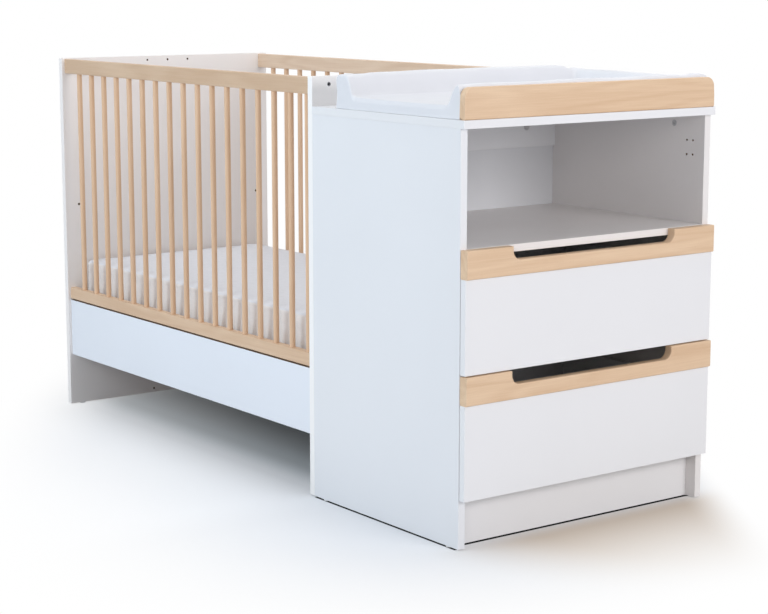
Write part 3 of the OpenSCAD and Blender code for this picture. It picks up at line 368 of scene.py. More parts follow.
# Boards tinted lighter, darker, warmer or cooler than the rest: painted light and shade, such as warm bounce
# on the far end panel, dimmer warm light in the chest's cavity and on the plinth, and cool light on the near
# sides
BOARD_LIGHT_SHADE_TINTS = {"far_end_panel": (0.885, 0.848, 0.828), "shared_end_panel": (0.938, 0.924, 0.915),
               "shelf": (0.812, 0.778, 0.758), "chest_far_side": (0.800, 0.778, 0.772),
               "plinth": (0.785, 0.778, 0.785), "near_lower_board": (0.793, 0.827, 0.890),
               "chest_near_side": (0.790, 0.803, 0.832)}
RAW_BOARD = chipboard("raw_chipboard")
STEEL = metal("zinc_plated_steel", (0.66, 0.66, 0.67), 0.26, 0.42)
INSERT = metal("dark_zinc_insert", (0.34, 0.35, 0.37), 0.42, 0.58)
RUNNER = plastic("white_powder_coat", (0.78, 0.78, 0.765), 0.44, grain=650.0)
NYLON = plastic("nylon", (0.80, 0.79, 0.74), 0.50, grain=1200.0, subsurface=0.08)
GLIDE = plastic("glide_plastic", (0.80, 0.80, 0.80), 0.46)
# The second tint paints warm bounced light on the mattress's upright sides
SHEET = cotton("white_cotton", (0.728, 0.738, 0.785), (1.10, 1.027, 0.940))
COVER = coated_cloth("white_coated_cloth", (0.745, 0.758, 0.798))
SLOT_MATERIAL = {"white_board": WHITE, "steel": STEEL, "runner_steel": RUNNER, "nylon": NYLON,
                 "glide_plastic": GLIDE}

GRAIN = {"near_top_rail": "X", "back_top_rail": "X", "near_bottom_rail": "X", "back_bottom_rail": "X",
         "near_bars": "Z", "back_bars": "Z", "front_board": "Y", "upper_drawer_strip": "Y",
         "lower_drawer_strip": "Y", "base_near_beam": "X", "base_back_beam": "X", "base_slats": "Y",
         "chest_dowels": "Y", "upper_drawer_dowels": "X", "lower_drawer_dowels": "X"}
# The way in which the white face of each hardboard piece looks
BOARD_FACE = {"back_panel": "X", "upper_drawer_bottom": "Z", "lower_drawer_bottom": "Z"}


def material_for(node):
    """The material of a CAD node, or None for a soft solid, which is replaced."""
    slot = SLOT_OF[node]
    if node == "panel_inserts":
        return INSERT
    # A board with painted light and shade gets its own tinted copy of the white melamine
    if node in BOARD_LIGHT_SHADE_TINTS:
        return white_board("melamine_" + node, BOARD_LIGHT_SHADE_TINTS[node])
    if slot in SLOT_MATERIAL:
        return SLOT_MATERIAL[slot]
    if node in ("near_bars", "back_bars"):
        return wood("turned_beech_" + node, GRAIN[node], BAR_LIGHT, BAR_DARK, 2.0 + len(node), 0.42, 0.35)
    if slot == "beech":
        tint = RAIL_TINTS.get(node, (1.0, 1.0, 1.0))
        return wood("beech_" + node, GRAIN[node], tinted(BEECH_LIGHT, tint), tinted(BEECH_DARK, tint),
                    2.0 + len(node))
    if slot == "base_wood":
        return wood("base_wood_" + node, GRAIN[node], BASE_LIGHT, BASE_DARK, 3.0 + len(node), 0.62, 0.9)
    if slot == "hardboard":
        return hardboard("hardboard_" + node, BOARD_FACE[node])
    return None


for name, node in NODES.items():
    made = material_for(name)
    if made is not None:
        node.data.materials.clear()
        node.data.materials.append(made)

# ---------------------------------------------------------------- eased boards

BEVEL_LIMIT = math.radians(30)
SHARP_LIMIT = math.radians(35)
FLAT_LIMIT = math.radians(0.6)
SAME_POINT = 2e-6
SAME_PLANE = 2e-5
NORMAL_WEIGHT = 80
# A face of a drilled hole is smaller than this, in square metres and metres, and lies more than
# this many edge radii inside the board's outline
BORE_AREA = 2.2e-4
BORE_REACH = 0.030
BORE_DEPTH = 1.6
# How much of an edge's run or a face's normal lies along an axis that it is said to follow
ALONG = 0.9
# An edge whose lower end is nearer than this to the board's foot stays sharp
FOOT_MARGIN = 0.0002


def apply_modifiers(obj):
    dg = bpy.context.evaluated_depsgraph_get()
    mesh = bpy.data.meshes.new_from_object(obj.evaluated_get(dg), preserve_all_data_layers=True, depsgraph=dg)
    obj.modifiers.clear()
    old = obj.data
    obj.data = mesh
    bpy.data.meshes.remove(old)


def finish_normals(obj):
    """Smooth shading that stays flat on the boards' large faces."""
    mesh = obj.data
    mesh.polygons.foreach_set("use_smooth", [True] * len(mesh.polygons))
    mesh.set_sharp_from_angle(angle=SHARP_LIMIT)
    weighted = obj.modifiers.new("even_normals", "WEIGHTED_NORMAL")
    weighted.keep_sharp = True
    weighted.weight = NORMAL_WEIGHT
    apply_modifiers(obj)


def bore_faces(bm, low, high, clear):
    """Walls and bottoms of the drilled holes: small faces well inside the board's outline."""
    found = []
    for face in bm.faces:
        middle = face.calc_center_median()
        depth = min(min(middle[k] - low[k], high[k] - middle[k]) for k in range(3))
        reach = max((v.co - middle).length for v in face.verts)
        if depth > clear and face.calc_area() < BORE_AREA and reach < BORE_REACH:
            found.append(face)
    return found


def on_planes(point, low, high):
    """The axes along which a point lies on the box round its board."""
    return [k for k in range(3) if min(abs(point[k] - low[k]), abs(point[k] - high[k])) < SAME_PLANE]


def outer_edges(edge, planes):
    """The edges along the corners of a board's box."""
    return len(planes) >= 2


def long_edges(axis):
    """Only the edges that run along a rail, so that its ends stay square against the panels."""
    k = "XYZ".index(axis)

    def choose(edge, planes):
        run = edge.verts[1].co - edge.verts[0].co
        return len(planes) >= 2 and k not in planes and abs(run[k]) > ALONG * run.length
    return choose


def outline_edges(node):
    """Front and back outline of a strip or board that is cut to shape in the YZ plane."""
    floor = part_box(node)[0].z

    def choose(edge, planes):
        low = min(v.co.z for v in edge.verts)
        return (0 in planes and low > floor + FOOT_MARGIN) or (2 in planes and 0 in planes)
    return choose


def eased(node, radius, segments=2, choose=outer_edges, drilled=False, raw_top_gap_shade=False):
    """A copy of a CAD board with the chosen edges rounded; it stands for the node.

    The walls of drilled holes show bare chipboard, and on the lower boards so does the sawn top, which is
    dark also to paint the shade in the gap between the board and the rail above."""
    mesh = NODES[node].data.copy()
    bm = bmesh.new()
    bm.from_mesh(mesh)
    bmesh.ops.remove_doubles(bm, verts=bm.verts, dist=SAME_POINT)
    bmesh.ops.dissolve_limit(bm, angle_limit=FLAT_LIMIT, verts=bm.verts, edges=bm.edges)
    low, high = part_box(node)
    picked = []
    for edge in bm.edges:
        if len(edge.link_faces) != 2 or edge.calc_face_angle(0.0) < BEVEL_LIMIT:
            continue
        middle = (edge.verts[0].co + edge.verts[1].co) / 2
        if choose(edge, on_planes(middle, low, high)):
            picked.append(edge)
    bmesh.ops.bevel(bm, geom=picked, offset=radius, offset_type="OFFSET", segments=segments,
                    profile=0.5, affect="EDGES", clamp_overlap=True, loop_slide=False)
    if drilled:
        for face in bore_faces(bm, low, high, radius * BORE_DEPTH):
            face.material_index = 1
        mesh.materials.append(RAW_BOARD)
    # The dark sawn top shows bare chipboard and also paints the shade in the gap under the bottom rail
    if raw_top_gap_shade:
        for face in bm.faces:
            if face.normal.z > ALONG and face.calc_center_median().z > high.z - radius:
                face.material_index = 1
    bm.to_mesh(mesh)
    bm.free()
    for attribute in list(mesh.attributes):
        if attribute.name == "custom_normal":
            mesh.attributes.remove(attribute)
    piece = bpy.data.objects.new(node + "_eased", mesh)
    scene.collection.objects.link(piece)
    finish_normals(piece)
    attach(piece, BODY_OF[node])
    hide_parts(node)


BOARD_EDGE = 0.0007
BEAM_EDGE = 0.0012
RAIL_EDGE = 0.0022
STRIP_EDGE = 0.0026
for node in ("far_end_panel", "shared_end_panel", "near_lower_board", "back_lower_board",
             "chest_near_side", "chest_far_side", "top_slab", "shelf", "plinth",
             "upper_stretcher", "lower_stretcher", "upper_drawer_near_side", "upper_drawer_far_side",
             "upper_drawer_back", "lower_drawer_near_side", "lower_drawer_far_side", "lower_drawer_back"):
    # The lower boards' dark tops also paint the shade in the gaps under the bottom rails
    eased(node, BOARD_EDGE, drilled=True, raw_top_gap_shade=node.endswith("lower_board"))
for node in ("upper_drawer_front", "lower_drawer_front"):
    eased(node, BOARD_EDGE)
for node in ("near_top_rail", "back_top_rail", "near_bottom_rail", "back_bottom_rail"):
    eased(node, RAIL_EDGE, 3, long_edges("X"))
for node in ("front_board", "upper_drawer_strip", "lower_drawer_strip"):
    eased(node, STRIP_EDGE, 3, outline_edges(node))
for node in ("base_near_beam", "base_back_beam"):
    eased(node, BEAM_EDGE, 2, long_edges("X"))

# ---------------------------------------------------------------- soft pieces

COVER_PRESSURE = 3.0
COVER_STIFFNESS = 15.0
COVER_FRAMES = 20
COVER_MASS = 0.3
SHEAR_SHARE = 0.6
# The share of an inward move that is taken back
INWARD_BACK = 0.75


def fall(t):
    """Smooth step from 0 to 1."""
    t = np.clip(t, 0.0, 1.0)
    return t * t * (3 - 2 * t)


def wavy(level, place, waves):
    """A level with waves on it along a place, each given as its height, rate and start."""
    for height, rate, start in waves:
        level = level + height * np.sin(place * rate + start)
    return level


def block_lattice(nx, ny, nz):
    """Quad skin of a block, as points in -1..1 and faces."""
    index, points, faces = {}, [], []

    def at(i, j, k):
        if (i, j, k) not in index:
            index[(i, j, k)] = len(points)
            points.append((2 * i / nx - 1, 2 * j / ny - 1, 2 * k / nz - 1))
        return index[(i, j, k)]

    for i in range(nx):
        for j in range(ny):
            faces.append([at(i, j, 0), at(i, j + 1, 0), at(i + 1, j + 1, 0), at(i + 1, j, 0)])
            faces.append([at(i, j, nz), at(i + 1, j, nz), at(i + 1, j + 1, nz), at(i, j + 1, nz)])
    for i in range(nx):
        for k in range(nz):
            faces.append([at(i, 0, k), at(i + 1, 0, k), at(i + 1, 0, k + 1), at(i, 0, k + 1)])
            faces.append([at(i, ny, k), at(i, ny, k + 1), at(i + 1, ny, k + 1), at(i + 1, ny, k)])
    for j in range(ny):
        for k in range(nz):
            faces.append([at(0, j, k), at(0, j, k + 1), at(0, j + 1, k + 1), at(0, j + 1, k)])
            faces.append([at(nx, j, k), at(nx, j + 1, k), at(nx, j + 1, k + 1), at(nx, j, k + 1)])
    return np.array(points), faces


def plan_distance(xy, half, radius):
    """Signed distance to a rounded rectangle, and the outward direction."""
    corner = np.abs(xy) - (half - radius)
    outside = np.maximum(corner, 0.0)
    length = np.linalg.norm(outside, axis=1)
    inner = np.minimum(corner.max(1), 0.0)
    direction = np.where(length[:, None] > 1e-9, outside / np.maximum(length, 1e-9)[:, None],
                         np.eye(2)[np.argmax(corner, axis=1)])
    return length + inner - radius, direction * np.sign(np.where(xy == 0, 1.0, xy))


def rounded_block(half, plan_radius, edge_radius, counts):
    """A block with upright corners of plan_radius and its upper and lower edges rounded."""
    unit, faces = block_lattice(*counts)
    half = np.array(half)
    p = unit * half
    flat_half = half[:2]
    edge = np.maximum(np.abs(p[:, :2]) - (flat_half - plan_radius), 0.0)
    both = edge.min(1) > 0
    shrink = np.where(both, edge.max(1) / np.maximum(np.linalg.norm(edge, axis=1), 1e-9), 1.0)
    core = np.clip(p[:, :2], -(flat_half - plan_radius), flat_half - plan_radius)
    p[:, :2] = core + (p[:, :2] - core) * shrink[:, None]
    distance, outward = plan_distance(p[:, :2], flat_half, plan_radius)
    across = np.clip(distance + edge_radius, 0.0, edge_radius)
    up = np.maximum(np.abs(p[:, 2]) - (half[2] - edge_radius), 0.0)
    size = np.hypot(across, up)
    ratio = np.where((across > 0) & (up > 0), np.maximum(across, up) / np.maximum(size, 1e-9), 1.0)
    p[:, :2] += outward * (across * ratio - across)[:, None]
    p[:, 2] -= np.sign(p[:, 2]) * up * (1 - ratio)
    return p, faces


def new_mesh_object(name, points, faces):
    mesh = bpy.data.meshes.new(name)
    mesh.from_pydata([tuple(p) for p in points], [], faces)
    mesh.update()
    obj = bpy.data.objects.new(name, mesh)
    scene.collection.objects.link(obj)
    return obj


def read_vectors(vertices, attribute):
    values = np.zeros(len(vertices) * 3, np.float32)
    vertices.foreach_get(attribute, values)
    return values.reshape(-1, 3).astype(float)


def set_coordinates(obj, co):
    obj.data.vertices.foreach_set("co", co.astype(np.float32).ravel())
    obj.data.update()


def inflate(obj, pinned, cap, bending=0.5):
    """Blows the cover up a little with a cloth simulation; no point moves further than cap."""
    before = read_vectors(obj.data.vertices, "co")
    group = obj.vertex_groups.new(name="pinned")
    group.add([int(i) for i in np.nonzero(pinned)[0]], 1.0, "REPLACE")
    cloth = obj.modifiers.new("cover", "CLOTH")
    cloth.settings.quality = 6
    cloth.settings.mass = COVER_MASS
    cloth.settings.tension_stiffness = COVER_STIFFNESS
    cloth.settings.compression_stiffness = COVER_STIFFNESS
    cloth.settings.shear_stiffness = COVER_STIFFNESS * SHEAR_SHARE
    cloth.settings.bending_stiffness = bending
    cloth.settings.use_pressure = True
    cloth.settings.uniform_pressure_force = COVER_PRESSURE
    cloth.settings.vertex_group_mass = "pinned"
    cloth.settings.effector_weights.gravity = 0.0
    cloth.point_cache.frame_start = 1
    cloth.point_cache.frame_end = COVER_FRAMES
    for step in range(1, COVER_FRAMES + 1):
        scene.frame_set(step)
    dg = bpy.context.evaluated_depsgraph_get()
    after = read_vectors(obj.evaluated_get(dg).data.vertices, "co")
    obj.modifiers.clear()
    obj.vertex_groups.clear()
    scene.frame_set(1)
    moved = after - before
    normals = read_vectors(obj.data.vertices, "normal")
    inward = np.minimum((moved * normals).sum(1), 0.0)
    moved -= normals * (inward * INWARD_BACK)[:, None]
    length = np.linalg.norm(moved, axis=1)
    moved *= (np.minimum(length, cap) / np.maximum(length, 1e-9))[:, None]
    set_coordinates(obj, before + moved)


def subdivide(obj):
    modifier = obj.modifiers.new("smooth", "SUBSURF")
    modifier.levels = 1
    modifier.render_levels = 1
    apply_modifiers(obj)
    obj.data.polygons.foreach_set("use_smooth", [True] * len(obj.data.polygons))


def dressed(obj, material, node):
    obj.data.materials.clear()
    obj.data.materials.append(material)
    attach(obj, BODY_OF[node])
    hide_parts(node)


# The fitted sheet, in metres; a run is a place along its sides, from -RUN_HALF to RUN_HALF
MATTRESS_CORNER = 0.040
MATTRESS_EDGE = 0.017
MATTRESS_GRID = (150, 64, 12)
# The block starts this much smaller than the solid on each side, and this much lower
MATTRESS_PLAY = (0.003, 0.003, 0.002)
MATTRESS_SINK = 0.001
MATTRESS_PINNED = 0.004
MATTRESS_CAP = 0.006
# Where the sides begin inside the outline, and over what length; first for the plain block
BLOCK_SIDE = (0.020, 0.016)
SHEET_SIDE = (0.022, 0.018)
SIDE_HEIGHT = 0.11
SIDE_DRAWN_IN = 0.0035
RUN_HALF = 6.2
RUN_LENGTH = 12.5
RUN_PER_TURN = 1.9
# The upright folds; sizes and reaches are shares, and so are the heights where they fade
FOLD_SEED = 11
FOLD_GAP = (0.016, 0.034)
FOLD_WIDTH = (0.0050, 0.0095)
FOLD_SIZE = (0.4, 1.0)
FOLD_REACH = (0.45, 1.0)
FOLD_LEAN = (-0.22, 0.22)
FOLD_DEPTH = 0.0050
FOLD_RISE = 0.86
FOLD_MARGIN = 0.04
FOLD_END = 0.35
FOLD_FOOT = 0.10
FOLD_TOP = 0.93
FOLD_TOP_FADE = 0.12
# The folds are stronger in some stretches than in others
STRENGTH = 0.55
STRENGTH_WAVES = ((0.45, 5.2, 0.9), (0.15, 17.0, 0.0))
STRENGTH_LIMITS = (0.18, 1.15)
# The slanting puckers
PUCKER_SEED = 23
PUCKER_COUNT = 64
PUCKER_LEVEL = (0.15, 0.85)
PUCKER_TILT = (-1.1, 1.1)
PUCKER_LENGTH = (0.025, 0.055)
PUCKER_WIDTH = (0.0055, 0.0095)
PUCKER_SIZE = (0.4, 1.0)
PUCKER_DEPTH = 0.0046
PUCKER_EXTRA = 0.25
# A groove and a roll round the sides: depth, and level and width as shares of the height
GROOVE = (-0.0007, 0.83, 0.030)
ROLL = (0.0001, 0.905, 0.035)
# The top, whose slight unevenness starts at this share of the height and grows over the next
TOP_START = 0.9
TOP_FADE = 0.08


def gather_folds():
    """Places, widths, heights and leans of the small folds round a gathered cover."""
    rng = random.Random(FOLD_SEED)
    folds, place = [], 0.0
    while place < RUN_LENGTH:
        folds.append((place, rng.uniform(*FOLD_WIDTH), rng.uniform(*FOLD_SIZE),
                      rng.uniform(*FOLD_REACH), rng.uniform(*FOLD_LEAN)))
        place += rng.uniform(*FOLD_GAP)
    return folds


def run_round(co, outward):
    """How far along the sides each point lies; a turn at a corner counts as a length too."""
    angle = np.arctan2(outward[:, 1], outward[:, 0])
    long_side = np.abs(outward[:, 1]) > np.abs(outward[:, 0])
    run = np.where(long_side, co[:, 0] * -np.sign(outward[:, 1]), co[:, 1] * np.sign(outward[:, 0]))
    return run + RUN_PER_TURN * angle


def upright_folds(run, height):
    """Folds that rise from the bottom to their own reach."""
    push = np.zeros(len(run))
    for place, width, size, reach, lean in gather_folds():
        offset = run + RUN_HALF - place + lean * (height - 0.5) * SIDE_HEIGHT
        tall = fall((reach - height * FOLD_RISE + FOLD_MARGIN) / FOLD_END)
        push += size * np.exp(-(offset / width) ** 2) * tall
    return push


def slanting_puckers(run, height):
    """Short thin ridges that lean either way."""
    rng = random.Random(PUCKER_SEED)
    pull = np.zeros(len(run))
    for _ in range(PUCKER_COUNT):
        at = rng.uniform(-RUN_HALF, RUN_HALF)
        level = rng.uniform(*PUCKER_LEVEL)
        tilt = rng.uniform(*PUCKER_TILT)
        long = rng.uniform(*PUCKER_LENGTH)
        thin = rng.uniform(*PUCKER_WIDTH)
        across, up = run - at, (height - level) * SIDE_HEIGHT
        beside = (across * math.cos(tilt) + up * math.sin(tilt)) / thin
        beyond = (up * math.cos(tilt) - across * math.sin(tilt)) / long
        pull += rng.uniform(*PUCKER_SIZE) * np.exp(-beside ** 2 - beyond ** 2)
    return pull


def band(height, depth, level, width):
    """How far a groove or roll round the sides moves a point at this height."""
    return depth * np.exp(-((height - level) / width) ** 2)


def side_share(distance, start, length):
    """1 on the sides and 0 on the middle of the top and bottom."""
    return fall((distance + start) / length)


def make_mattress():
    low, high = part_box("mattress")
    centre = (low + high) / 2
    half = [(high[k] - low[k]) / 2 - MATTRESS_PLAY[k] for k in range(3)]
    flat_half = np.array(half[:2])
    points, faces = rounded_block(half, MATTRESS_CORNER, MATTRESS_EDGE, MATTRESS_GRID)
    distance, outward = plan_distance(points[:, :2], flat_half, MATTRESS_CORNER)
    height = (points[:, 2] + half[2]) / (2 * half[2])
    side = side_share(distance, *BLOCK_SIDE)
    points[:, :2] -= outward * (SIDE_DRAWN_IN * np.sin(np.pi * height) * side)[:, None]
    points += np.array([centre.x, centre.y, centre.z - MATTRESS_SINK])
    obj = new_mesh_object("mattress_in_fitted_sheet", points, faces)
    inflate(obj, points[:, 2] < low.z + MATTRESS_PINNED, MATTRESS_CAP)
    subdivide(obj)

    co = read_vectors(obj.data.vertices, "co") - np.array([centre.x, centre.y, 0.0])
    distance, outward = plan_distance(co[:, :2], flat_half, MATTRESS_CORNER)
    height = (co[:, 2] - low.z) / (high.z - low.z)
    side = side_share(distance, *SHEET_SIDE)
    run = run_round(co, outward)
    strength = np.clip(wavy(STRENGTH, co[:, 0], STRENGTH_WAVES), *STRENGTH_LIMITS)
    push = ((upright_folds(run, height) - 0.5) * FOLD_DEPTH * strength
            + slanting_puckers(run, height) * PUCKER_DEPTH * (strength + PUCKER_EXTRA))
    push *= side * fall(height / FOLD_FOOT) * fall((FOLD_TOP - height) / FOLD_TOP_FADE)
    groove = band(height, *GROOVE) * side
    roll = band(height, *ROLL) * side
    co[:, :2] += outward * (push + groove + roll)[:, None]
    top = fall((height - TOP_START) / TOP_FADE) * (1 - side)
    ease = (np.sin(co[:, 0] * 23.0 + 1.5 * np.sin(co[:, 1] * 9.0)) * 0.0005
            + np.sin(co[:, 0] * 9.0 - co[:, 1] * 13.0) * 0.0006)
    co[:, 2] = np.clip(co[:, 2] + ease * top, low.z, high.z)
    set_coordinates(obj, co + np.array([centre.x, centre.y, 0.0]))
    dressed(obj, SHEET, "mattress")


# The changing mat, in millimetres: the height of each raised edge, and where its inner slope runs
CRIB_RIDGE = 76.2
CRIB_SLOPE = (38.0, 72.0)
CRIB_WAVES = ((1.4, 0.0049, -0.2), (0.7, 0.033, 0.0))
FRONT_RIDGE = 71.5
FRONT_SLOPE = (12.0, 64.0)
FRONT_WAVES = ((1.0, 0.0227, 0.7),)
FAR_RIDGE = 66.5
FAR_SLOPE = (40.0, 80.0)
FAR_WAVES = ((1.3, 0.014, 0.0),)
# The crib side's edge drops towards the far corner
CRIB_DROP = 8.0
CRIB_DROP_AT = 632.0
CRIB_DROP_RUN = 38.0
# The height of the middle, how much it is hollowed, and how uneven it is
MAT_MIDDLE = 28.0
MAT_HOLLOW = 1.2
MAT_UNEVEN = 0.5
# How softly the heights run into one another, and the most that this may add
MAT_BLEND = 7.0
MAT_BLEND_MOST = 2.6
# Radii of the turned edges; the near end's is smaller
MAT_EDGE = 11.0
MAT_NEAR_EDGE = 7.0
MAT_WALL_ROWS = 7
# The mat's cover, in metres: how far up it is held, how far it may move, how stiff it is in
# bending, and how far it may stand out towards the crib
MAT_PINNED = 0.0015
MAT_CAP = 0.0030
MAT_BENDING = 1.2
MAT_BULGE = 0.003


def steps(*spans):
    """Grid lines through the given (end, count) spans, starting at 0."""
    lines = [0.0]
    for end, count in spans:
        start = lines[-1]
        lines += [start + (end - start) * (k + 1) / count for k in range(count)]
    return np.array(lines)


def mat_rise(u, v, length, width):
    """Height of the mat's upper face in millimetres; u from the crib side, v from the near end."""
    def drop(d, slope):
        start, end = slope
        return 1 - fall((d - start) / (end - start))

    def turned(d, radius):
        d = np.clip(d, 0.0, radius)
        return radius - np.sqrt(np.maximum(radius * radius - (radius - d) ** 2, 0.0))

    crib = wavy(CRIB_RIDGE, v, CRIB_WAVES) - CRIB_DROP * fall((v - CRIB_DROP_AT) / CRIB_DROP_RUN)
    crib = crib * drop(u, CRIB_SLOPE)
    front = wavy(FRONT_RIDGE, v, FRONT_WAVES) * drop(length - u, FRONT_SLOPE)
    far = wavy(FAR_RIDGE, u, FAR_WAVES) * drop(width - v, FAR_SLOPE)
    middle = (MAT_MIDDLE - MAT_HOLLOW * np.sin(math.pi * u / length)
              + MAT_UNEVEN * np.sin(v * 0.021) * np.sin(u * 0.017))
    forms = (crib, front, far, middle)
    rise = MAT_BLEND * np.log(sum(np.exp(form / MAT_BLEND) for form in forms))
    rise = np.minimum(rise, np.maximum.reduce(forms) + MAT_BLEND_MOST)
    return rise - np.maximum.reduce([turned(u, MAT_EDGE), turned(length - u, MAT_EDGE),
                                     turned(width - v, MAT_EDGE), turned(v, MAT_NEAR_EDGE)])


def height_block(us, vs, top, rows):
    """Closed skin below a height grid, standing on a flat base."""
    nu, nv = len(us), len(vs)
    points = [(us[i], vs[j], top[i, j]) for i in range(nu) for j in range(nv)]
    points += [(us[i], vs[j], 0.0) for i in range(nu) for j in range(nv)]

    def at(level, i, j):
        return level * nu * nv + i * nv + j

    faces = []
    for i in range(nu - 1):
        for j in range(nv - 1):
            faces.append([at(0, i, j), at(0, i + 1, j), at(0, i + 1, j + 1), at(0, i, j + 1)])
            faces.append([at(1, i, j), at(1, i, j + 1), at(1, i + 1, j + 1), at(1, i + 1, j)])
    ring = [(i, 0) for i in range(nu)] + [(nu - 1, j) for j in range(1, nv)]
    ring += [(i, nv - 1) for i in range(nu - 2, -1, -1)] + [(0, j) for j in range(nv - 2, 0, -1)]
    walls = []
    for i, j in ring:
        column = [at(1, i, j)]
        for k in range(1, rows):
            column.append(len(points))
            points.append((us[i], vs[j], top[i, j] * k / rows))
        walls.append(column + [at(0, i, j)])
    for a, b in zip(walls, walls[1:] + walls[:1]):
        for k in range(rows):
            faces.append([a[k], b[k], b[k + 1], a[k + 1]])
    return np.array(points), faces


def make_changing_mat():
    low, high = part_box("changing_mat")
    length, width = (high.x - low.x) * 1000, (high.y - low.y) * 1000
    # The grid is finer where the mat's edges are turned and slope
    us = steps((4.0, 2), (12.0, 2), (36.0, 3), (76.0, 6), (length - 68.0, 26), (length - 12.0, 8),
               (length - 4.0, 2), (length, 2))
    vs = steps((2.0, 2), (7.0, 2), (12.0, 1), (width - 84.0, 66), (width - 38.0, 6), (width - 12.0, 3),
               (width - 4.0, 2), (width, 2))
    grid_u, grid_v = np.meshgrid(us, vs, indexing="ij")
    points, faces = height_block(us, vs, mat_rise(grid_u, grid_v, length, width), MAT_WALL_ROWS)
    points = points * 0.001 + np.array([low.x, low.y, low.z])
    obj = new_mesh_object("padded_changing_mat", points, faces)
    inflate(obj, points[:, 2] < low.z + MAT_PINNED, MAT_CAP, MAT_BENDING)
    subdivide(obj)
    co = read_vectors(obj.data.vertices, "co")
    co[:, 0] = np.clip(co[:, 0], low.x - MAT_BULGE, high.x)
    co[:, 2] = np.clip(co[:, 2], low.z, high.z)
    set_coordinates(obj, co)
    dressed(obj, COVER, "changing_mat")


make_mattress()
make_changing_mat()

# ---------------------------------------------------------------- stage and light

# The grey part of the photograph's floor: a rectangle under the crib that fades outwards, cut by
# straight limits, each with its direction, offset, fade width and its value before the limit
SHADE_MIDDLE = (-0.083, -0.017)
SHADE_HALF = (0.418, 0.292)
SHADE_FADE = (0.300, 1.097)
SHADE_LIMITS = [((0.618, 0.786), 1.040, 0.379, 0.0),
                ((0.535, 0.845), -0.722, 0.143, 1.0),
                ((0.204, 0.979), 1.183, 1.199, 0.0)]
# The painted warm shadow on the floor in front of the drawers
WARM_SHADOW_CORNER = (0.806, 0.522)
WARM_SHADOW_FADE = (0.651, 0.982)
WARM_SHADOW_START = (0.814, 0.914)
# The painted shadow on the floor under the crib: the fades at its two sides, along y and along x
CRIB_SHADE_Y = ((-0.323, -0.210), (0.09, 0.34))
CRIB_SHADE_X = ((-0.96, -0.87), (0.264, 0.464))
# As light bounces off it, the floor is pale before the crib and turns grey between these two y
BOUNCE_FRONT = (-0.60, -0.38)
# Along the crib, how bright the painted light makes the floor outside the painted shadow strip, and how much
# darker the painted shadow is inside it
PAINTED_LIGHT_BESIDE_SHADOW = 1.105
PAINTED_SHADOW_DROP = 0.605
# The floor that the chest covers, and the foot of its near side, as middle and half size; there the floor is
# painted nearly black, a painted contact shadow
CHEST_FOOT = ((0.598, 0.0), (0.2545, 0.3625))
SIDE_FOOT = ((0.855, -0.3540), (0.014, 0.0085))
# How the painted contact shadow fades in, and how dark it is
CONTACT_SHADOW_FADE = (0.0002, 0.0014)
CONTACT_SHADOW_DARK = 0.03
FLOOR_HALF = 14.0

# The floor's colours as light bounces off it and as it is seen; each grey has two specks
BOUNCE_GREY = ((0.55, 0.56, 0.58), (0.57, 0.58, 0.60))
BOUNCE_PALE = (0.66, 0.67, 0.69)
# Inside the painted warm shadow the floor bounces warmer, darker light
BOUNCE_IN_WARM_SHADOW = (0.545, 0.520, 0.490)
# Under the crib the floor bounces little light, a dark sheet that deepens the shade on the crib's lower faces
BOUNCE_IN_CRIB_SHADOW = (0.20, 0.19, 0.22)
SEEN_GREY = ((0.738, 0.764, 0.806), (0.756, 0.782, 0.824))
# The colour of the painted warm shadow as seen
SEEN_WARM_SHADOW = (0.465, 0.332, 0.210)
# A cool tint multiplied into the painted shadow under the crib
SEEN_CRIB_SHADOW_TINT = (0.90, 1.0, 1.04)
WHITE_LIGHT = (1.0, 1.0, 1.0)
SKY_TINT = (0.93, 0.95, 1.0)

AMBIENT = 0.41
# Lamp: place, aim, width and height, watts, colour
LAMPS = {
    "key_left": ((-0.35, -3.5, 1.95), (0.1, 0.0, 0.42), (2.6, 1.6), 65.0, (0.80, 0.92, 1.0)),
    "front_right": ((4.6, 0.7, 1.7), (0.6, 0.0, 0.5), (2.2, 1.8), 82.0, (1.0, 0.98, 0.985)),
    "overhead": ((0.0, 0.2, 3.6), (0.0, 0.0, 0.0), (3.0, 2.2), 37.0, (1.0, 0.98, 0.95)),
    "camera_fill": ((3.6, -3.3, 1.5), (0.5, 0.0, 0.5), (1.6, 1.4), 24.0, (1.0, 0.93, 0.88)),
    "back_soft": ((-1.6, 3.6, 3.3), (0.0, 0.0, 0.6), (2.4, 2.0), 20.0, (1.0, 0.99, 0.98)),
}


def area_light(name, place, aim, size, watts, colour):
    data = bpy.data.lights.new(name, "AREA")
    data.shape = "RECTANGLE"
    data.size, data.size_y = size
    data.energy = watts
    data.color = colour
    obj = bpy.data.objects.new(name, data)
    obj.location = place
    obj.rotation_euler = (Vector(aim) - Vector(place)).to_track_quat("-Z", "Y").to_euler()
    scene.collection.objects.link(obj)


def grey_share(s, axes):
    """1 where the floor is grey in the photograph, and 0 where it has gone white."""
    share = s.smooth(s.beyond(axes, SHADE_MIDDLE, SHADE_HALF), *SHADE_FADE, 1.0, 0.0)
    for direction, offset, fade, before in SHADE_LIMITS:
        limit = s.smooth(s.lean(axes, direction, offset), 0.0, fade, before, 1.0 - before)
        share = s.times(share, limit)
    return share


def warm_shadow_share(s, x, y):
    """1 in the painted warm shadow on the floor in front of the drawers."""
    dx = s.math("MAXIMUM", s.math("SUBTRACT", x, WARM_SHADOW_CORNER[0]), 0.0)
    dy = s.math("MAXIMUM", s.math("SUBTRACT", WARM_SHADOW_CORNER[1], y), 0.0)
    return s.times(s.smooth(s.length(dx, dy), *WARM_SHADOW_FADE, 1.0, 0.0), s.smooth(x, *WARM_SHADOW_START))


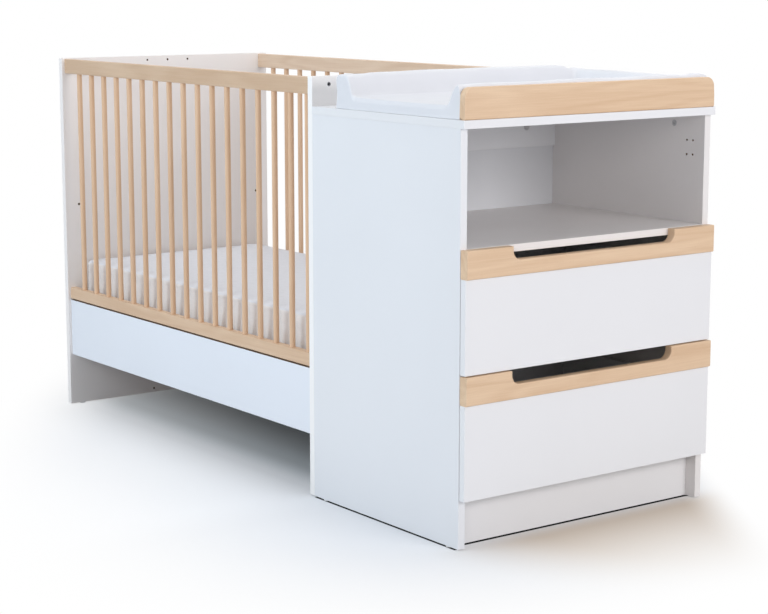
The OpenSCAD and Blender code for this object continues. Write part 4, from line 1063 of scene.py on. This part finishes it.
def between(s, axis, fades):
    """1 between two fades along an axis."""
    return s.times(s.smooth(axis, *fades[0]), s.smooth(axis, *fades[1], 1.0, 0.0))


def make_floor():
    s = new_shader("studio_floor")
    here = s.add("NewGeometry", out="Position")
    axes = [s.add("SeparateXYZ", {0: here}, out=axis) for axis in "XY"]
    x, y = axes
    seen = s.seen()
    speck = s.noise(here, scale=400.0)
    warm_shadow = warm_shadow_share(s, x, y)
    inside = between(s, y, CRIB_SHADE_Y)
    crib = between(s, x, CRIB_SHADE_X)
    crib_shadow = s.times(inside, crib)
    # Painted shadow under the crib, with painted light just beside it
    depth = s.math("SUBTRACT", PAINTED_LIGHT_BESIDE_SHADOW, s.times(inside, PAINTED_SHADOW_DROP))
    depth = s.plus(s.times(crib, s.math("SUBTRACT", depth, 1.0)), 1.0)
    below = s.math("MINIMUM", s.beyond(axes, *CHEST_FOOT), s.beyond(axes, *SIDE_FOOT))
    # Painted contact shadow: nearly black under the chest, which shows in the gaps at its foot
    out_of_contact_shadow = s.remap(below, *CONTACT_SHADOW_FADE, CONTACT_SHADOW_DARK, 1.0)

    bounce = s.mix(speck, *[rgba(*grey) for grey in BOUNCE_GREY])
    bounce = s.mix(s.smooth(y, *BOUNCE_FRONT, 1.0, 0.0), bounce, rgba(*BOUNCE_PALE))
    bounce = s.mix(warm_shadow, bounce, rgba(*BOUNCE_IN_WARM_SHADOW))
    bounce = s.mix(crib_shadow, bounce, rgba(*BOUNCE_IN_CRIB_SHADOW))
    shown = s.mix(speck, *[rgba(*grey) for grey in SEEN_GREY])
    # Painted warm shadow in front of the drawers
    shown = s.mix(warm_shadow, shown, rgba(*SEEN_WARM_SHADOW))
    shown = s.mix(crib_shadow, shown, rgba(*SEEN_CRIB_SHADOW_TINT), "MULTIPLY")
    shown = s.add("VectorMath", {0: shown, 3: s.times(depth, out_of_contact_shadow)}, operation="SCALE")
    paint = s.add("BsdfDiffuse", {"Color": s.mix(seen, bounce, shown)})
    glow = s.add("Emission", {"Color": rgba(*WHITE_LIGHT), "Strength": 1.0})
    far = s.math("SUBTRACT", 1.0, grey_share(s, axes))
    mixed = s.add("MixShader", {0: s.times(far, out_of_contact_shadow, seen), 1: paint, 2: glow})
    s.add("OutputMaterial", {"Surface": mixed})

    mesh = bpy.data.meshes.new("floor")
    bm = bmesh.new()
    bmesh.ops.create_grid(bm, x_segments=8, y_segments=8, size=FLOOR_HALF)
    bm.to_mesh(mesh)
    bm.free()
    floor = bpy.data.objects.new("floor", mesh)
    mesh.materials.append(s.holder)
    scene.collection.objects.link(floor)


def make_world():
    """White where it is seen, and a pale cool light at a lower level for the object."""
    world = bpy.data.worlds.new("studio")
    scene.world = world
    s = Shader(world)
    seen = s.seen()
    colour = s.mix(seen, rgba(*SKY_TINT), rgba(*WHITE_LIGHT))
    strength = s.remap(seen, 0.0, 1.0, AMBIENT, 1.0)
    back = s.add("Background", {"Color": colour, "Strength": strength})
    s.add("OutputWorld", {"Surface": back})


make_floor()
make_world()
for name, settings in LAMPS.items():
    area_light(name, *settings)
